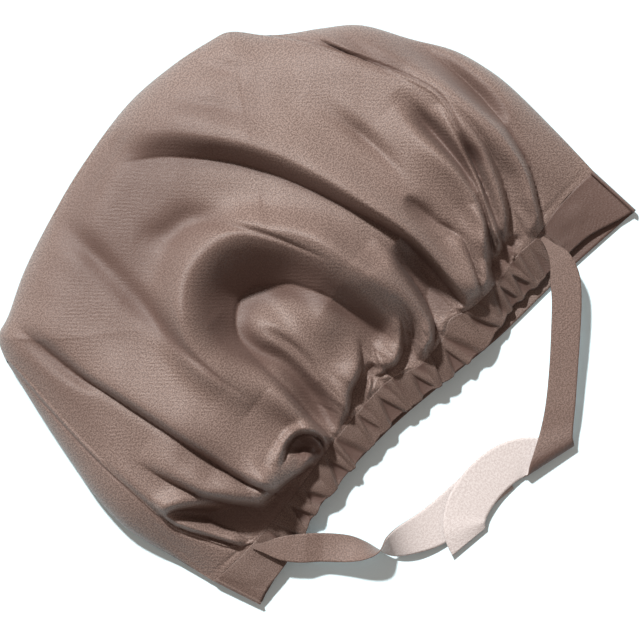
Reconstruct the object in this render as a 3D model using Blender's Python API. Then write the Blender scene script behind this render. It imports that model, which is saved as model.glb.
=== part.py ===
"""Sleep bonnet of satin, laid flat with its nape side up and its ribbon ties loose.

Lengths in the tables are shares of the named sizes. "across" is a share of HALF_WIDTH from the
middle, "back" a share of DEPTH from the mouth's corners into the crown, and "rise" a share of
CROWN_RISE above the surface the bonnet lies on.
"""
import math

import bmesh
import bpy
from mathutils import Vector

HALF_WIDTH = 0.168
DEPTH = 0.253
CROWN_RISE = 0.050
ORIGIN_BACK = 0.494
TIE_WIDTH = 0.0165
TIE_LIFT = 0.010

PANEL_WALL = 0.0014
CASING_WALL = 0.0016
BAND_WALL = 0.0015
RIBBON_WALL = 0.0010
SEAM_GAP = 0.00045

EDGE_ROUND = 0.030
INLAND_ROUND = 0.105
FOOT_ROUND = 0.085
FOLD_FOOT = 0.012
UNDER_ROUND = 0.011
RUFFLE_PITCH = 0.0095
RUFFLE_HEIGHT = 0.0019
RUFFLE_FADE = 0.016
LEAST_RISE = 0.0045
UNDER_REACH = 0.016
CLIMB_REACH = 0.0040
CORNER_LOW = 0.0030
CORNER_HIGH = 0.0040
HOLE_REACH = 0.012
RIBBON_GAP = 0.0007
FLOOR_GAP = 0.00005

PANEL_COLUMNS = 52
CASING_COLUMNS = 84
PANEL_LEVELS = (0.0, 0.022, 0.055, 0.095, 0.14, 0.19, 0.24, 0.29, 0.34, 0.39, 0.44, 0.49, 0.54,
                0.59, 0.64, 0.69, 0.74, 0.79, 0.84, 0.89, 0.935, 0.968, 0.99, 1.0)
NARROWEST_FOLD = 0.046

SATIN_BROWN = (0.270, 0.200, 0.176, 1.0)
BAND_BROWN = (0.235, 0.172, 0.152, 1.0)
RIBBON_BROWN = (0.245, 0.178, 0.155, 1.0)

# name, across, back, rise of the folded edge
OUTLINE = (
    ("left_band_top", -0.927, 0.115, 0.085),
    ("left_hip", -0.958, 0.215, 0.120),
    ("left_waist", -0.985, 0.290, 0.150),
    ("left_bulge", -1.000, 0.360, 0.165),
    ("left_side", -0.990, 0.450, 0.170),
    ("left_slope", -0.965, 0.530, 0.170),
    ("left_shoulder", -0.925, 0.650, 0.165),
    ("left_neck", -0.885, 0.755, 0.160),
    ("left_kink", -0.865, 0.805, 0.160),
    ("left_step", -0.825, 0.850, 0.170),
    ("far_left", -0.750, 0.866, 0.180),
    ("far_left_mid", -0.600, 0.910, 0.190),
    ("far_mid_left", -0.400, 0.950, 0.200),
    ("far_near_middle", -0.200, 0.980, 0.210),
    ("far_middle", 0.050, 1.000, 0.215),
    ("far_past_middle", 0.250, 0.988, 0.210),
    ("far_mid_right", 0.400, 0.965, 0.200),
    ("right_corner", 0.475, 0.945, 0.190),
    ("right_kink", 0.545, 0.885, 0.180),
    ("right_dip", 0.610, 0.845, 0.175),
    ("right_shoulder", 0.700, 0.800, 0.170),
    ("right_bulge", 0.800, 0.740, 0.170),
    ("right_upper", 0.880, 0.640, 0.170),
    ("right_high", 0.955, 0.550, 0.170),
    ("right_side", 0.990, 0.460, 0.165),
    ("right_widest", 1.000, 0.380, 0.160),
    ("right_waist", 0.996, 0.250, 0.130),
    ("right_band_top", 0.988, 0.140, 0.090),
)

# name, across, back, rise along the line of stitches above the casing and the bands
SEWING = (
    ("left_fold", -0.927, 0.113, 0.085),
    ("left_flat", -0.850, 0.110, 0.190),
    ("left_hole", -0.750, 0.108, 0.215),
    ("left_gather", -0.600, 0.112, 0.250),
    ("left_mound", -0.450, 0.122, 0.280),
    ("left_tuck", -0.300, 0.135, 0.300),
    ("middle_left", -0.100, 0.143, 0.310),
    ("middle", 0.000, 0.138, 0.310),
    ("middle_dip", 0.100, 0.113, 0.295),
    ("middle_right", 0.220, 0.118, 0.300),
    ("right_lift", 0.280, 0.136, 0.310),
    ("right_tuck", 0.360, 0.118, 0.300),
    ("right_gather", 0.450, 0.114, 0.285),
    ("right_seam", 0.585, 0.125, 0.260),
    ("right_hole", 0.690, 0.122, 0.225),
    ("right_flat", 0.800, 0.133, 0.205),
    ("right_near_fold", 0.900, 0.135, 0.180),
    ("right_fold", 0.988, 0.131, 0.090),
)

# name, across, back, rise along the mouth's upper edge
MOUTH = (
    ("left_corner", -0.875, 0.000, 0.070),
    ("left_near", -0.820, 0.012, 0.130),
    ("left_flat", -0.720, 0.020, 0.150),
    ("left_gather", -0.620, 0.034, 0.165),
    ("left_mid", -0.500, 0.055, 0.190),
    ("left_inner", -0.350, 0.060, 0.195),
    ("middle_left", -0.150, 0.068, 0.190),
    ("middle", 0.000, 0.060, 0.190),
    ("middle_right", 0.150, 0.043, 0.195),
    ("right_inner", 0.300, 0.034, 0.195),
    ("right_rise", 0.450, 0.050, 0.185),
    ("right_gather", 0.600, 0.045, 0.170),
    ("right_flat", 0.730, 0.042, 0.160),
    ("right_mid", 0.820, 0.036, 0.155),
    ("right_near", 0.920, 0.014, 0.130),
    ("right_corner", 0.992, 0.000, 0.070),
)

# name, across, back along the brow edge that lies on the surface
BROW = (
    ("left_corner", -0.875, 0.000),
    ("left_near", -0.700, 0.026),
    ("left_mid", -0.450, 0.058),
    ("middle_left", -0.150, 0.062),
    ("middle_right", 0.100, 0.046),
    ("right_mid", 0.350, 0.026),
    ("right_near", 0.650, 0.018),
    ("right_corner", 0.992, 0.000),
)

# name, across, back of the seam on the underside, between the brow band and the front panel
UNDER_SEAM = (
    ("left_fold", -0.927, 0.113),
    ("left_near", -0.850, 0.124),
    ("left_mid", -0.700, 0.134),
    ("right_mid", 0.700, 0.135),
    ("right_near", 0.880, 0.134),
    ("right_fold", 0.988, 0.131),
)

# name, across, back up the left seam
LEFT_SEAM = (
    ("foot", -0.745, 0.112),
    ("bend", -0.800, 0.140),
    ("rise", -0.850, 0.210),
    ("turn", -0.884, 0.270),
    ("low", -0.889, 0.400),
    ("middle", -0.890, 0.520),
    ("high", -0.878, 0.660),
    ("top", -0.866, 0.762),
    ("kink", -0.865, 0.805),
)

# name, across, back up the right seam
RIGHT_SEAM = (
    ("foot", 0.585, 0.126),
    ("bend", 0.590, 0.180),
    ("rise", 0.640, 0.252),
    ("turn", 0.700, 0.318),
    ("low", 0.755, 0.410),
    ("waist", 0.796, 0.490),
    ("middle", 0.780, 0.565),
    ("high", 0.705, 0.695),
    ("upper", 0.625, 0.800),
    ("top", 0.572, 0.856),
    ("kink", 0.545, 0.885),
)

# name, across, back, reach across, reach back, rise: the broad swells and hollows of the crown
SWELLS = (
    ("left_body", -0.520, 0.420, 0.300, 0.300, 0.160),
    ("left_foot_swell", -0.460, 0.215, 0.170, 0.070, 0.130),
    ("centre_hollow", -0.130, 0.480, 0.260, 0.200, -0.300),
    ("inner_mound", -0.110, 0.400, 0.110, 0.130, 0.200),
    ("middle_mound", 0.230, 0.420, 0.150, 0.220, 0.090),
    ("far_swell", -0.150, 0.800, 0.450, 0.120, 0.060),
    ("right_body", 0.600, 0.520, 0.250, 0.250, 0.080),
    ("right_foot_hollow", 0.330, 0.200, 0.070, 0.070, -0.180),
    ("left_foot_hollow", -0.700, 0.170, 0.120, 0.060, -0.120),
    ("inner_foot_mound", -0.020, 0.240, 0.110, 0.070, 0.090),
)

# name, start across and back, middle across and back, end across and back, rise,
# width on the left and on the right of the way from start to end (shares of HALF_WIDTH)
FOLDS = (
    ("far_ridge", -0.250, 0.955, 0.080, 0.950, 0.260, 0.770, 0.170, 0.070, 0.050),
    ("long_ridge", 0.200, 0.840, 0.350, 0.620, 0.390, 0.310, 0.300, 0.075, 0.050),
    ("long_lee", 0.030, 0.850, 0.260, 0.660, 0.350, 0.340, -0.120, 0.040, 0.060),
    ("arch_left", -0.300, 0.420, -0.330, 0.600, -0.160, 0.670, 0.210, 0.070, 0.040),
    ("arch_right", -0.160, 0.670, 0.060, 0.590, 0.200, 0.220, 0.270, 0.075, 0.050),
    ("mound_ridge", -0.240, 0.430, -0.170, 0.300, -0.200, 0.170, 0.080, 0.030, 0.030),
    ("mound_furrow", -0.110, 0.420, -0.100, 0.340, -0.080, 0.260, -0.080, 0.030, 0.035),
    ("left_valley_soft", -0.405, 0.930, -0.395, 0.730, -0.410, 0.480, -0.110, 0.050, 0.040),
    ("left_valley_crisp", -0.415, 0.540, -0.408, 0.440, -0.392, 0.350, -0.070, 0.022, 0.016),
    ("deep_valley_high", -0.745, 0.800, -0.740, 0.680, -0.700, 0.560, -0.080, 0.045, 0.035),
    ("deep_valley", -0.720, 0.600, -0.650, 0.400, -0.560, 0.160, -0.170, 0.028, 0.018),
    ("deep_valley_bank", -0.760, 0.540, -0.700, 0.400, -0.620, 0.230, 0.090, 0.030, 0.040),
    ("side_valley", -0.805, 0.430, -0.770, 0.320, -0.700, 0.210, -0.110, 0.025, 0.025),
    ("side_pocket", -0.860, 0.290, -0.760, 0.220, -0.640, 0.120, -0.190, 0.035, 0.035),
    ("side_tongue", -0.730, 0.260, -0.690, 0.200, -0.630, 0.150, 0.110, 0.020, 0.018),
    ("seam_furrow", -0.885, 0.260, -0.830, 0.185, -0.765, 0.115, -0.080, 0.018, 0.018),
    ("mound_edge", -0.550, 0.160, -0.470, 0.150, -0.410, 0.142, 0.090, 0.030, 0.014),
    ("hook_top", -0.460, 0.205, -0.380, 0.222, -0.320, 0.185, 0.070, 0.030, 0.020),
    ("hook_side", -0.320, 0.200, -0.300, 0.165, -0.350, 0.125, 0.100, 0.022, 0.022),
    ("hook_hole", -0.385, 0.200, -0.355, 0.180, -0.365, 0.140, -0.120, 0.022, 0.022),
    ("mound_wall", -0.300, 0.330, -0.285, 0.240, -0.300, 0.150, 0.100, 0.018, 0.040),
    ("centre_foot_fold", -0.040, 0.215, -0.120, 0.190, -0.220, 0.140, 0.090, 0.022, 0.030),
    ("centre_foot_hole", -0.040, 0.180, -0.110, 0.165, -0.160, 0.145, -0.100, 0.018, 0.018),
    ("middle_foot_fold", 0.000, 0.160, 0.070, 0.170, 0.130, 0.210, 0.090, 0.020, 0.016),
    ("middle_foot_hole", 0.100, 0.160, 0.170, 0.180, 0.205, 0.260, -0.110, 0.030, 0.026),
    ("strut", 0.240, 0.200, 0.200, 0.160, 0.130, 0.120, 0.090, 0.018, 0.022),
    ("far_line_one", 0.060, 0.950, 0.180, 0.910, 0.330, 0.740, -0.040, 0.022, 0.018),
    ("far_line_two", 0.180, 0.990, 0.310, 0.930, 0.400, 0.850, -0.050, 0.028, 0.022),
    ("right_soft_valley", 0.510, 0.700, 0.530, 0.550, 0.520, 0.420, -0.090, 0.045, 0.035),
    ("right_drop", 0.470, 0.390, 0.490, 0.310, 0.500, 0.250, -0.120, 0.028, 0.016),
    ("right_foot_ridge", 0.500, 0.300, 0.450, 0.200, 0.350, 0.100, 0.120, 0.024, 0.030),
    ("right_foot_furrow", 0.520, 0.240, 0.450, 0.170, 0.400, 0.120, -0.110, 0.016, 0.018),
    ("right_inner_valley", 0.700, 0.560, 0.700, 0.440, 0.690, 0.340, -0.110, 0.030, 0.026),
    ("right_inner_furrow", 0.690, 0.360, 0.620, 0.240, 0.500, 0.150, -0.120, 0.020, 0.022),
    ("right_seam_hollow", 0.755, 0.400, 0.735, 0.350, 0.700, 0.290, -0.110, 0.022, 0.026),
    ("right_seam_strip", 0.800, 0.430, 0.740, 0.320, 0.600, 0.170, 0.080, 0.026, 0.022),
    ("lobe_furrow", 0.800, 0.400, 0.750, 0.270, 0.610, 0.170, -0.130, 0.018, 0.020),
    ("lobe_valley_high", 0.840, 0.600, 0.900, 0.500, 0.885, 0.380, -0.090, 0.045, 0.035),
    ("lobe_valley", 0.900, 0.420, 0.850, 0.260, 0.720, 0.120, -0.130, 0.030, 0.026),
    ("lobe_foot_ridge", 0.940, 0.230, 0.840, 0.190, 0.760, 0.150, 0.060, 0.040, 0.030),
)

# name, across, back, rise (share of TIE_LIFT), side angle, bank angle, width (share of TIE_WIDTH);
# the side angle is the way from the ribbon's middle to its right edge, seen from above
LEFT_TIE = (
    ("hole", -0.737, 0.097, 1.10, 222.0, 0.0, 0.36),
    ("throat", -0.712, 0.078, 1.00, 222.0, 0.0, 0.55),
    ("lap", -0.680, 0.056, 0.95, 222.0, 0.0, 0.88),
    ("lip", -0.640, 0.024, 0.90, 222.0, 0.0, 1.00),
    ("drop", -0.585, -0.012, 0.78, 222.0, 4.0, 1.00),
    ("hang", -0.530, -0.054, 0.76, 224.0, 22.0, 1.00),
    ("turn", -0.486, -0.090, 0.88, 230.0, 58.0, 1.00),
    ("edge", -0.456, -0.112, 0.92, 238.0, 92.0, 1.00),
    ("over", -0.420, -0.124, 0.84, 246.0, 136.0, 1.04),
    ("flat", -0.365, -0.140, 0.62, 250.0, 166.0, 1.16),
    ("ease", -0.300, -0.158, 0.33, 253.0, 177.0, 1.34),
    ("settle", -0.230, -0.170, 0.12, 258.0, 180.0, 1.46),
    ("lie", -0.138, -0.177, 0.07, 264.0, 180.0, 1.50),
    ("near_end", -0.040, -0.182, 0.06, 263.0, 180.0, 1.50),
    ("end", 0.031, -0.188, 0.06, 257.0, 180.0, 1.50),
)

RIGHT_TIE = (
    ("hole", 0.699, 0.104, 1.10, 174.0, 0.0, 0.36),
    ("throat", 0.694, 0.080, 1.00, 170.0, 0.0, 0.60),
    ("lap", 0.682, 0.048, 0.90, 162.0, 0.0, 0.92),
    ("lip", 0.655, 0.014, 0.85, 150.0, 0.0, 1.04),
    ("drop", 0.605, -0.024, 0.66, 138.0, 0.0, 1.04),
    ("run_high", 0.520, -0.075, 0.46, 132.0, 0.0, 1.02),
    ("run_low", 0.425, -0.129, 0.48, 131.0, 0.0, 1.00),
    ("lift", 0.330, -0.180, 0.62, 133.0, 0.0, 1.04),
    ("skew", 0.266, -0.210, 0.74, 143.0, 0.0, 1.16),
    ("near_fold", 0.218, -0.230, 0.78, 154.0, 2.0, 1.42),
    ("fold_top", 0.188, -0.243, 0.72, 162.0, 4.0, 1.74),
    ("fold_out", 0.170, -0.252, 0.44, 166.0, 4.0, 1.88),
    ("fold_low", 0.158, -0.242, 0.16, 173.0, 3.0, 1.80),
    ("unskew", 0.128, -0.216, 0.16, 200.0, 0.0, 1.56),
    ("back", 0.085, -0.194, 0.22, 228.0, 0.0, 1.48),
    ("crest", 0.025, -0.181, 0.28, 250.0, 0.0, 1.50),
    ("cross", -0.045, -0.178, 0.30, 265.0, 0.0, 1.52),
    ("bend", -0.115, -0.184, 0.32, 284.0, 0.0, 1.52),
    ("turn", -0.168, -0.198, 0.34, 306.0, 0.0, 1.50),
    ("fall", -0.204, -0.219, 0.38, 332.0, 0.0, 1.50),
    ("end", -0.225, -0.246, 0.23, 354.0, 0.0, 1.52),
)


def plan(across, back):
    """Turn shares into a position in metres."""
    return across * HALF_WIDTH, (back - ORIGIN_BACK) * DEPTH


def clamp(value):
    """Keep a share between nought and one."""
    return min(1.0, max(0.0, value))


def ease(share):
    """Go smoothly from nought to one."""
    share = clamp(share)
    return share * share * (3.0 - 2.0 * share)


def round_off(share):
    """Rise steeply from nought like the side of a round edge, then level at one."""
    share = clamp(share)
    return math.sqrt(max(0.0, 1.0 - (1.0 - share) ** 2))


def spline(rows, steps):
    """Sample a smooth curve through rows of numbers."""
    out = []
    last = len(rows) - 1
    for index in range(last):
        before = rows[max(index - 1, 0)]
        here = rows[index]
        there = rows[index + 1]
        after = rows[min(index + 2, last)]
        for step in range(steps):
            t = step / steps
            point = []
            for a, b, c, d in zip(before, here, there, after):
                low = 0.5 * (c - a)
                high = 0.5 * (d - b)
                gap = b - c
                point.append(b + t * (low + t * (-3.0 * gap - 2.0 * low - high
                                                + t * (2.0 * gap + low + high))))
            out.append(tuple(point))
    out.append(tuple(rows[last]))
    return out


def placed(rows):
    """Turn named rows of across, back and rise into positions in metres."""
    out = []
    for row in rows:
        x, y = plan(row[1], row[2])
        rise = row[3] * CROWN_RISE if len(row) > 3 else 0.0
        out.append((x, y, rise))
    return out


def lengths(path):
    """Give the running length of a path in plan."""
    total = [0.0]
    for a, b in zip(path, path[1:]):
        total.append(total[-1] + math.hypot(b[0] - a[0], b[1] - a[1]))
    return total


def along(path, share):
    """Give the point at a share of a path's length."""
    runs = lengths(path)
    goal = clamp(share) * runs[-1]
    for index in range(1, len(path)):
        if runs[index] >= goal or index == len(path) - 1:
            step = runs[index] - runs[index - 1]
            t = clamp((goal - runs[index - 1]) / step) if step > 0.0 else 0.0
            return tuple(a + (b - a) * t for a, b in zip(path[index - 1], path[index]))
    return path[-1]


def beside(path, share, away):
    """Give a point moved to the right of a path, seen from above, by a distance."""
    x, y = along(path, share)[:2]
    ax, ay = along(path, share - 0.01)[:2]
    bx, by = along(path, share + 0.01)[:2]
    step = math.hypot(bx - ax, by - ay)
    return x + (by - ay) / step * away, y - (bx - ax) / step * away


def seam_gap(level):
    """Give the gap beside a seam; it widens a little where the seam turns along the stitches."""
    return SEAM_GAP * (1.0 + 1.3 * (1.0 - ease(level / 0.16)))


def at_x(path, x):
    """Give the y and z of a left-to-right path at one x."""
    if x <= path[0][0]:
        return path[0][1], path[0][2]
    for a, b in zip(path, path[1:]):
        if x <= b[0]:
            t = (x - a[0]) / (b[0] - a[0]) if b[0] > a[0] else 0.0
            return a[1] + (b[1] - a[1]) * t, a[2] + (b[2] - a[2]) * t
    return path[-1][1], path[-1][2]


def nearest(path, x, y):
    """Give distance, side and share along a path for the point of it nearest to x, y."""
    best = (9.0, 0.0, 0.0, path[0][2])
    count = len(path) - 1
    for index in range(count):
        ax, ay, az = path[index]
        bx, by, bz = path[index + 1]
        dx = bx - ax
        dy = by - ay
        square = dx * dx + dy * dy
        t = clamp(((x - ax) * dx + (y - ay) * dy) / square) if square > 0.0 else 0.0
        away_x = x - ax - t * dx
        away_y = y - ay - t * dy
        away = math.hypot(away_x, away_y)
        if away < best[0]:
            side = dx * away_y - dy * away_x
            best = (away, side, (index + t) / count, az + (bz - az) * t)
    return best


def row_index(rows, name):
    """Find a named row."""
    for index, row in enumerate(rows):
        if row[0] == name:
            return index
    return 0


RIM = spline(placed(OUTLINE), 5)
LEFT_KINK = 5 * row_index(OUTLINE, "left_kink")
RIGHT_KINK = 5 * row_index(OUTLINE, "right_kink")
RIM_LEFT = RIM[:LEFT_KINK + 1]
RIM_FAR = RIM[LEFT_KINK:RIGHT_KINK + 1]
RIM_RIGHT = RIM[RIGHT_KINK:]
SEWN = spline(placed(SEWING), 6)
LIP = spline(placed(MOUTH), 6)
FRONT_LIP = spline(placed(BROW), 6)
UNDER_SEWN = spline(placed(UNDER_SEAM), 6)
SEAM_LEFT = spline(placed(LEFT_SEAM), 6)
SEAM_RIGHT = spline(placed(RIGHT_SEAM), 6)


def fold_paths():
    """Lay each fold's curve out once."""
    out = []
    for row in FOLDS:
        ends = placed((("a", row[1], row[2]), ("b", row[3], row[4]), ("c", row[5], row[6])))
        a, b, c = ends
        path = []
        for step in range(13):
            t = step / 12.0
            path.append(tuple((1 - t) ** 2 * p + 2 * t * (1 - t) * (2 * q - 0.5 * (p + r))
                              + t * t * r for p, q, r in zip(a, b, c)))
        left = max(row[8], NARROWEST_FOLD)
        right = max(row[9], NARROWEST_FOLD)
        ease_off = math.sqrt((row[8] + row[9]) / (left + right))
        out.append((path, row[7] * CROWN_RISE * ease_off, left * HALF_WIDTH, right * HALF_WIDTH))
    return out


FOLD_PATHS = fold_paths()


def gather(x, depth):
    """Give the height of the small ruffles at one x; depth runs from the mouth to the stitches."""
    left = plan(-0.735, 0.0)[0]
    right = plan(0.690, 0.0)[0]
    inside = ease((x - left) / RUFFLE_FADE) * ease((right - x) / RUFFLE_FADE)
    share = x / HALF_WIDTH
    phase = (x / RUFFLE_PITCH + 0.45 * math.sin(6.888 * share + 0.6)
             + 0.30 * math.sin(15.624 * share + 2.0))
    size = RUFFLE_HEIGHT * (0.75 + 0.35 * math.sin(9.576 * share + 1.0))
    return inside * size * math.cos(2.0 * math.pi * phase + 0.8 * depth)


def casing_top(x, depth):
    """Give the y and z of the casing at one x and at a share of its width from the mouth."""
    low_y, low_z = at_x(LIP, x)
    high_y, high_z = at_x(SEWN, x)
    wave = gather(x, depth)
    y = low_y + (high_y - low_y) * depth + 0.35 * wave * (1.0 - depth)
    z = low_z + (high_z - low_z) * depth ** 1.15 + wave * (0.55 + 0.45 * math.sin(math.pi * depth))
    return y, z


def crown_top(x, y):
    """Give the height of the crown's upper face at one place."""
    away, _, _, rim = nearest(RIM, x, y)
    sewn_y, sewn_z = at_x(SEWN, x)
    edge = round_off(away / EDGE_ROUND)
    height = 0.0
    share = 0.66 * edge + 0.34 * ease(away / INLAND_ROUND)
    foot = math.sin(0.5 * math.pi * clamp((y - sewn_y) / FOOT_ROUND))
    height = rim + (0.84 * CROWN_RISE - rim) * share
    for _, across, back, reach_x, reach_y, rise in SWELLS:
        sx, sy = plan(across, back)
        far = ((x - sx) / (reach_x * HALF_WIDTH)) ** 2 + ((y - sy) / (reach_y * DEPTH)) ** 2
        height += rise * CROWN_RISE * math.exp(-far) * edge
    sewn = sewn_z + gather(x, 1.0) * 0.55
    start = min(sewn, height)
    height = start + (height - start) * foot
    for path, rise, left, right in FOLD_PATHS:
        near, side, run, _ = nearest(path, x, y)
        width = left if side > 0.0 else right
        if near < 3.0 * width:
            taper = ease(run / 0.22) * ease((1.0 - run) / 0.16)
            taper *= ease((y - sewn_y) / FOLD_FOOT)
            height += rise * taper * math.exp(-(near / width) ** 1.7) * edge
    return max(height, rim * (0.9 + 0.1 * edge), LEAST_RISE)


def under_face(x, y):
    """Give the height of the underside's outer face."""
    away, _, _, rim = nearest(RIM, x, y)
    return rim * (1.0 - round_off(away / UNDER_ROUND))


def satin(name, colour, roughness):
    """Make a plain cloth material."""
    material = bpy.data.materials.new(name)
    material.use_nodes = True
    shader = material.node_tree.nodes["Principled BSDF"]
    shader.inputs["Base Color"].default_value = colour
    shader.inputs["Roughness"].default_value = roughness
    return material


def grid_object(name, points, material, wall, offset, keep=None, flip=False):
    """Build a wall of cloth from rows of points, leaving out the cells that keep refuses."""
    rows = len(points)
    columns = len(points[0])
    mesh = bpy.data.meshes.new(name)
    body = bmesh.new()
    bmesh.ops.create_grid(body, x_segments=columns - 1, y_segments=rows - 1, size=1.0)
    body.verts.ensure_lookup_table()
    ranked = sorted(body.verts, key=lambda v: (round(v.co.y, 5), round(v.co.x, 5)))
    spot = {}
    for index, vertex in enumerate(ranked):
        spot[vertex.index] = (index // columns, index % columns)
    unwanted = []
    for face in body.faces:
        cells = [spot[v.index] for v in face.verts]
        if keep is not None and not keep(min(c[0] for c in cells), min(c[1] for c in cells)):
            unwanted.append(face)
    for vertex in body.verts:
        row, column = spot[vertex.index]
        vertex.co = Vector(points[row][column])
    if unwanted:
        bmesh.ops.delete(body, geom=unwanted, context="FACES")
    if flip:
        bmesh.ops.reverse_faces(body, faces=body.faces[:])
    for face in body.faces:
        face.smooth = True
    body.to_mesh(mesh)
    body.free()
    piece = bpy.data.objects.new(name, mesh)
    bpy.context.scene.collection.objects.link(piece)
    piece.data.materials.append(material)
    thicken = piece.modifiers.new("wall", "SOLIDIFY")
    thicken.thickness = wall
    thicken.offset = offset
    return piece


def back_panel():
    """Build the gathered back panel from the two seams, the stitches and the far edge."""
    left_x = SEAM_LEFT[0][0]
    right_x = SEAM_RIGHT[0][0]
    corners = (SEAM_LEFT[0], SEAM_RIGHT[0], RIM_FAR[0], RIM_FAR[-1])
    rows = []
    for level in PANEL_LEVELS:
        left = beside(SEAM_LEFT, level, seam_gap(level))
        right = beside(SEAM_RIGHT, level, -seam_gap(level))
        row = []
        for column in range(PANEL_COLUMNS + 1):
            share = column / PANEL_COLUMNS
            foot_x = left_x + (right_x - left_x) * share
            foot = (foot_x, at_x(SEWN, foot_x)[0])
            far = along(RIM_FAR, share)
            spot = []
            for axis in (0, 1):
                ruled = (1 - share) * left[axis] + share * right[axis]
                lofted = (1 - level) * foot[axis] + level * far[axis]
                plane = ((1 - share) * (1 - level) * corners[0][axis]
                         + share * (1 - level) * corners[1][axis]
                         + (1 - share) * level * corners[2][axis]
                         + share * level * corners[3][axis])
                spot.append(ruled + lofted - plane)
            x, y = spot
            z = crown_top(x, y)
            if level == 0.0:
                z = casing_top(x, 1.0)[1] + 0.5 * SEAM_GAP
                y += SEAM_GAP
            if level == 1.0:
                z = far[2] + SEAM_GAP
            row.append((x, y, z))
        rows.append(row)
    return grid_object("back_panel", rows, satin("satin_back", SATIN_BROWN, 0.42), PANEL_WALL, -1.0)


def front_panel():
    """Build the front panel: the flat underside and the two lobes folded over onto the top."""
    left_count = len(PANEL_LEVELS) - 1
    far_count = 20
    columns = []
    for share in PANEL_LEVELS[:-1]:
        columns.append((along(RIM_LEFT, share), beside(SEAM_LEFT, share, -seam_gap(share)),
                        0.25 * share, "left"))
    for index in range(far_count + 1):
        share = index / far_count
        columns.append((along(RIM_FAR, share), None, 0.25 + 0.5 * share, "far"))
    for level in reversed(PANEL_LEVELS[:-1]):
        columns.append((along(RIM_RIGHT, 1.0 - level), beside(SEAM_RIGHT, level, seam_gap(level)),
                        1.0 - 0.25 * level, "right"))
    for index in (left_count - 1, left_count + far_count + 1):
        columns[index] = (columns[index][0], None, columns[index][2], "far")
    far_off = 9.0 * HALF_WIDTH
    steps = ((far_off, 1.0), (UNDER_REACH, 0.45), (0.5 * UNDER_REACH, 0.30),
             (0.21875 * UNDER_REACH, 0.16), (0.0625 * UNDER_REACH, 0.05), (0.0, 0.0))
    climbs = ((0.275 * CLIMB_REACH, 0.06), (CLIMB_REACH, 0.18), (far_off, 0.34), (far_off, 0.50),
              (far_off, 0.67), (far_off, 0.83), (far_off, 1.0))
    rows = [[] for _ in range(len(steps) + len(climbs))]
    for rim, seam, share, part in columns:
        mouth_x = plan(-0.850 + 1.760 * share, 0.0)[0]
        mouth_y = at_x(UNDER_SEWN, mouth_x)[0] + 0.5 * SEAM_GAP
        reach = math.hypot(rim[0] - mouth_x, rim[1] - mouth_y)
        for level, (limit, part_of) in enumerate(steps):
            t = min(limit, part_of * reach) / reach
            x = rim[0] + (mouth_x - rim[0]) * t
            y = rim[1] + (mouth_y - rim[1]) * t
            if share in (0.0, 1.0):
                y = at_x(UNDER_SEWN, x)[0] + 0.5 * SEAM_GAP
            z = under_face(x, y) if t > 0.0 else rim[2] - (SEAM_GAP if part == "far" else 0.0)
            rows[level].append((x, y, z))
        for level, (limit, part_of) in enumerate(climbs):
            if seam is None:
                rows[len(steps) + level].append((rim[0], rim[1], rim[2] + PANEL_WALL * level))
                continue
            reach = math.hypot(seam[0] - rim[0], seam[1] - rim[1])
            t = min(limit, part_of * reach) / reach
            x = rim[0] + (seam[0] - rim[0]) * t
            y = rim[1] + (seam[1] - rim[1]) * t
            z = crown_top(x, y)
            if share in (0.0, 1.0):
                y, z = at_x(SEWN, x)
                y += SEAM_GAP
                z += 0.5 * SEAM_GAP
            rows[len(steps) + level].append((x, y, z))
    first = left_count - 2
    last = left_count + far_count + 2

    def keep(row, column):
        return row < len(steps) - 1 or column < first or column >= last

    return grid_object("front_panel", rows, satin("satin_front", SATIN_BROWN, 0.42), PANEL_WALL, -1.0,
                       keep, flip=True)


def nape_casing():
    """Build the gathered casing that holds the elastic between the two ribbon holes."""
    left = plan(-0.722, 0.0)[0]
    right = plan(0.716, 0.0)[0]
    rows = []
    for level in (0.0, 0.14, 0.40, 0.70, 1.0):
        row = []
        for column in range(CASING_COLUMNS + 1):
            x = left + (right - left) * column / CASING_COLUMNS
            y, z = casing_top(x, level)
            if level == 1.0:
                y -= 0.5 * SEAM_GAP
            row.append((x, y, z))
        rows.append(row)
    return grid_object("nape_casing", rows, satin("satin_casing", BAND_BROWN, 0.45), CASING_WALL, -1.0)


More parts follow.
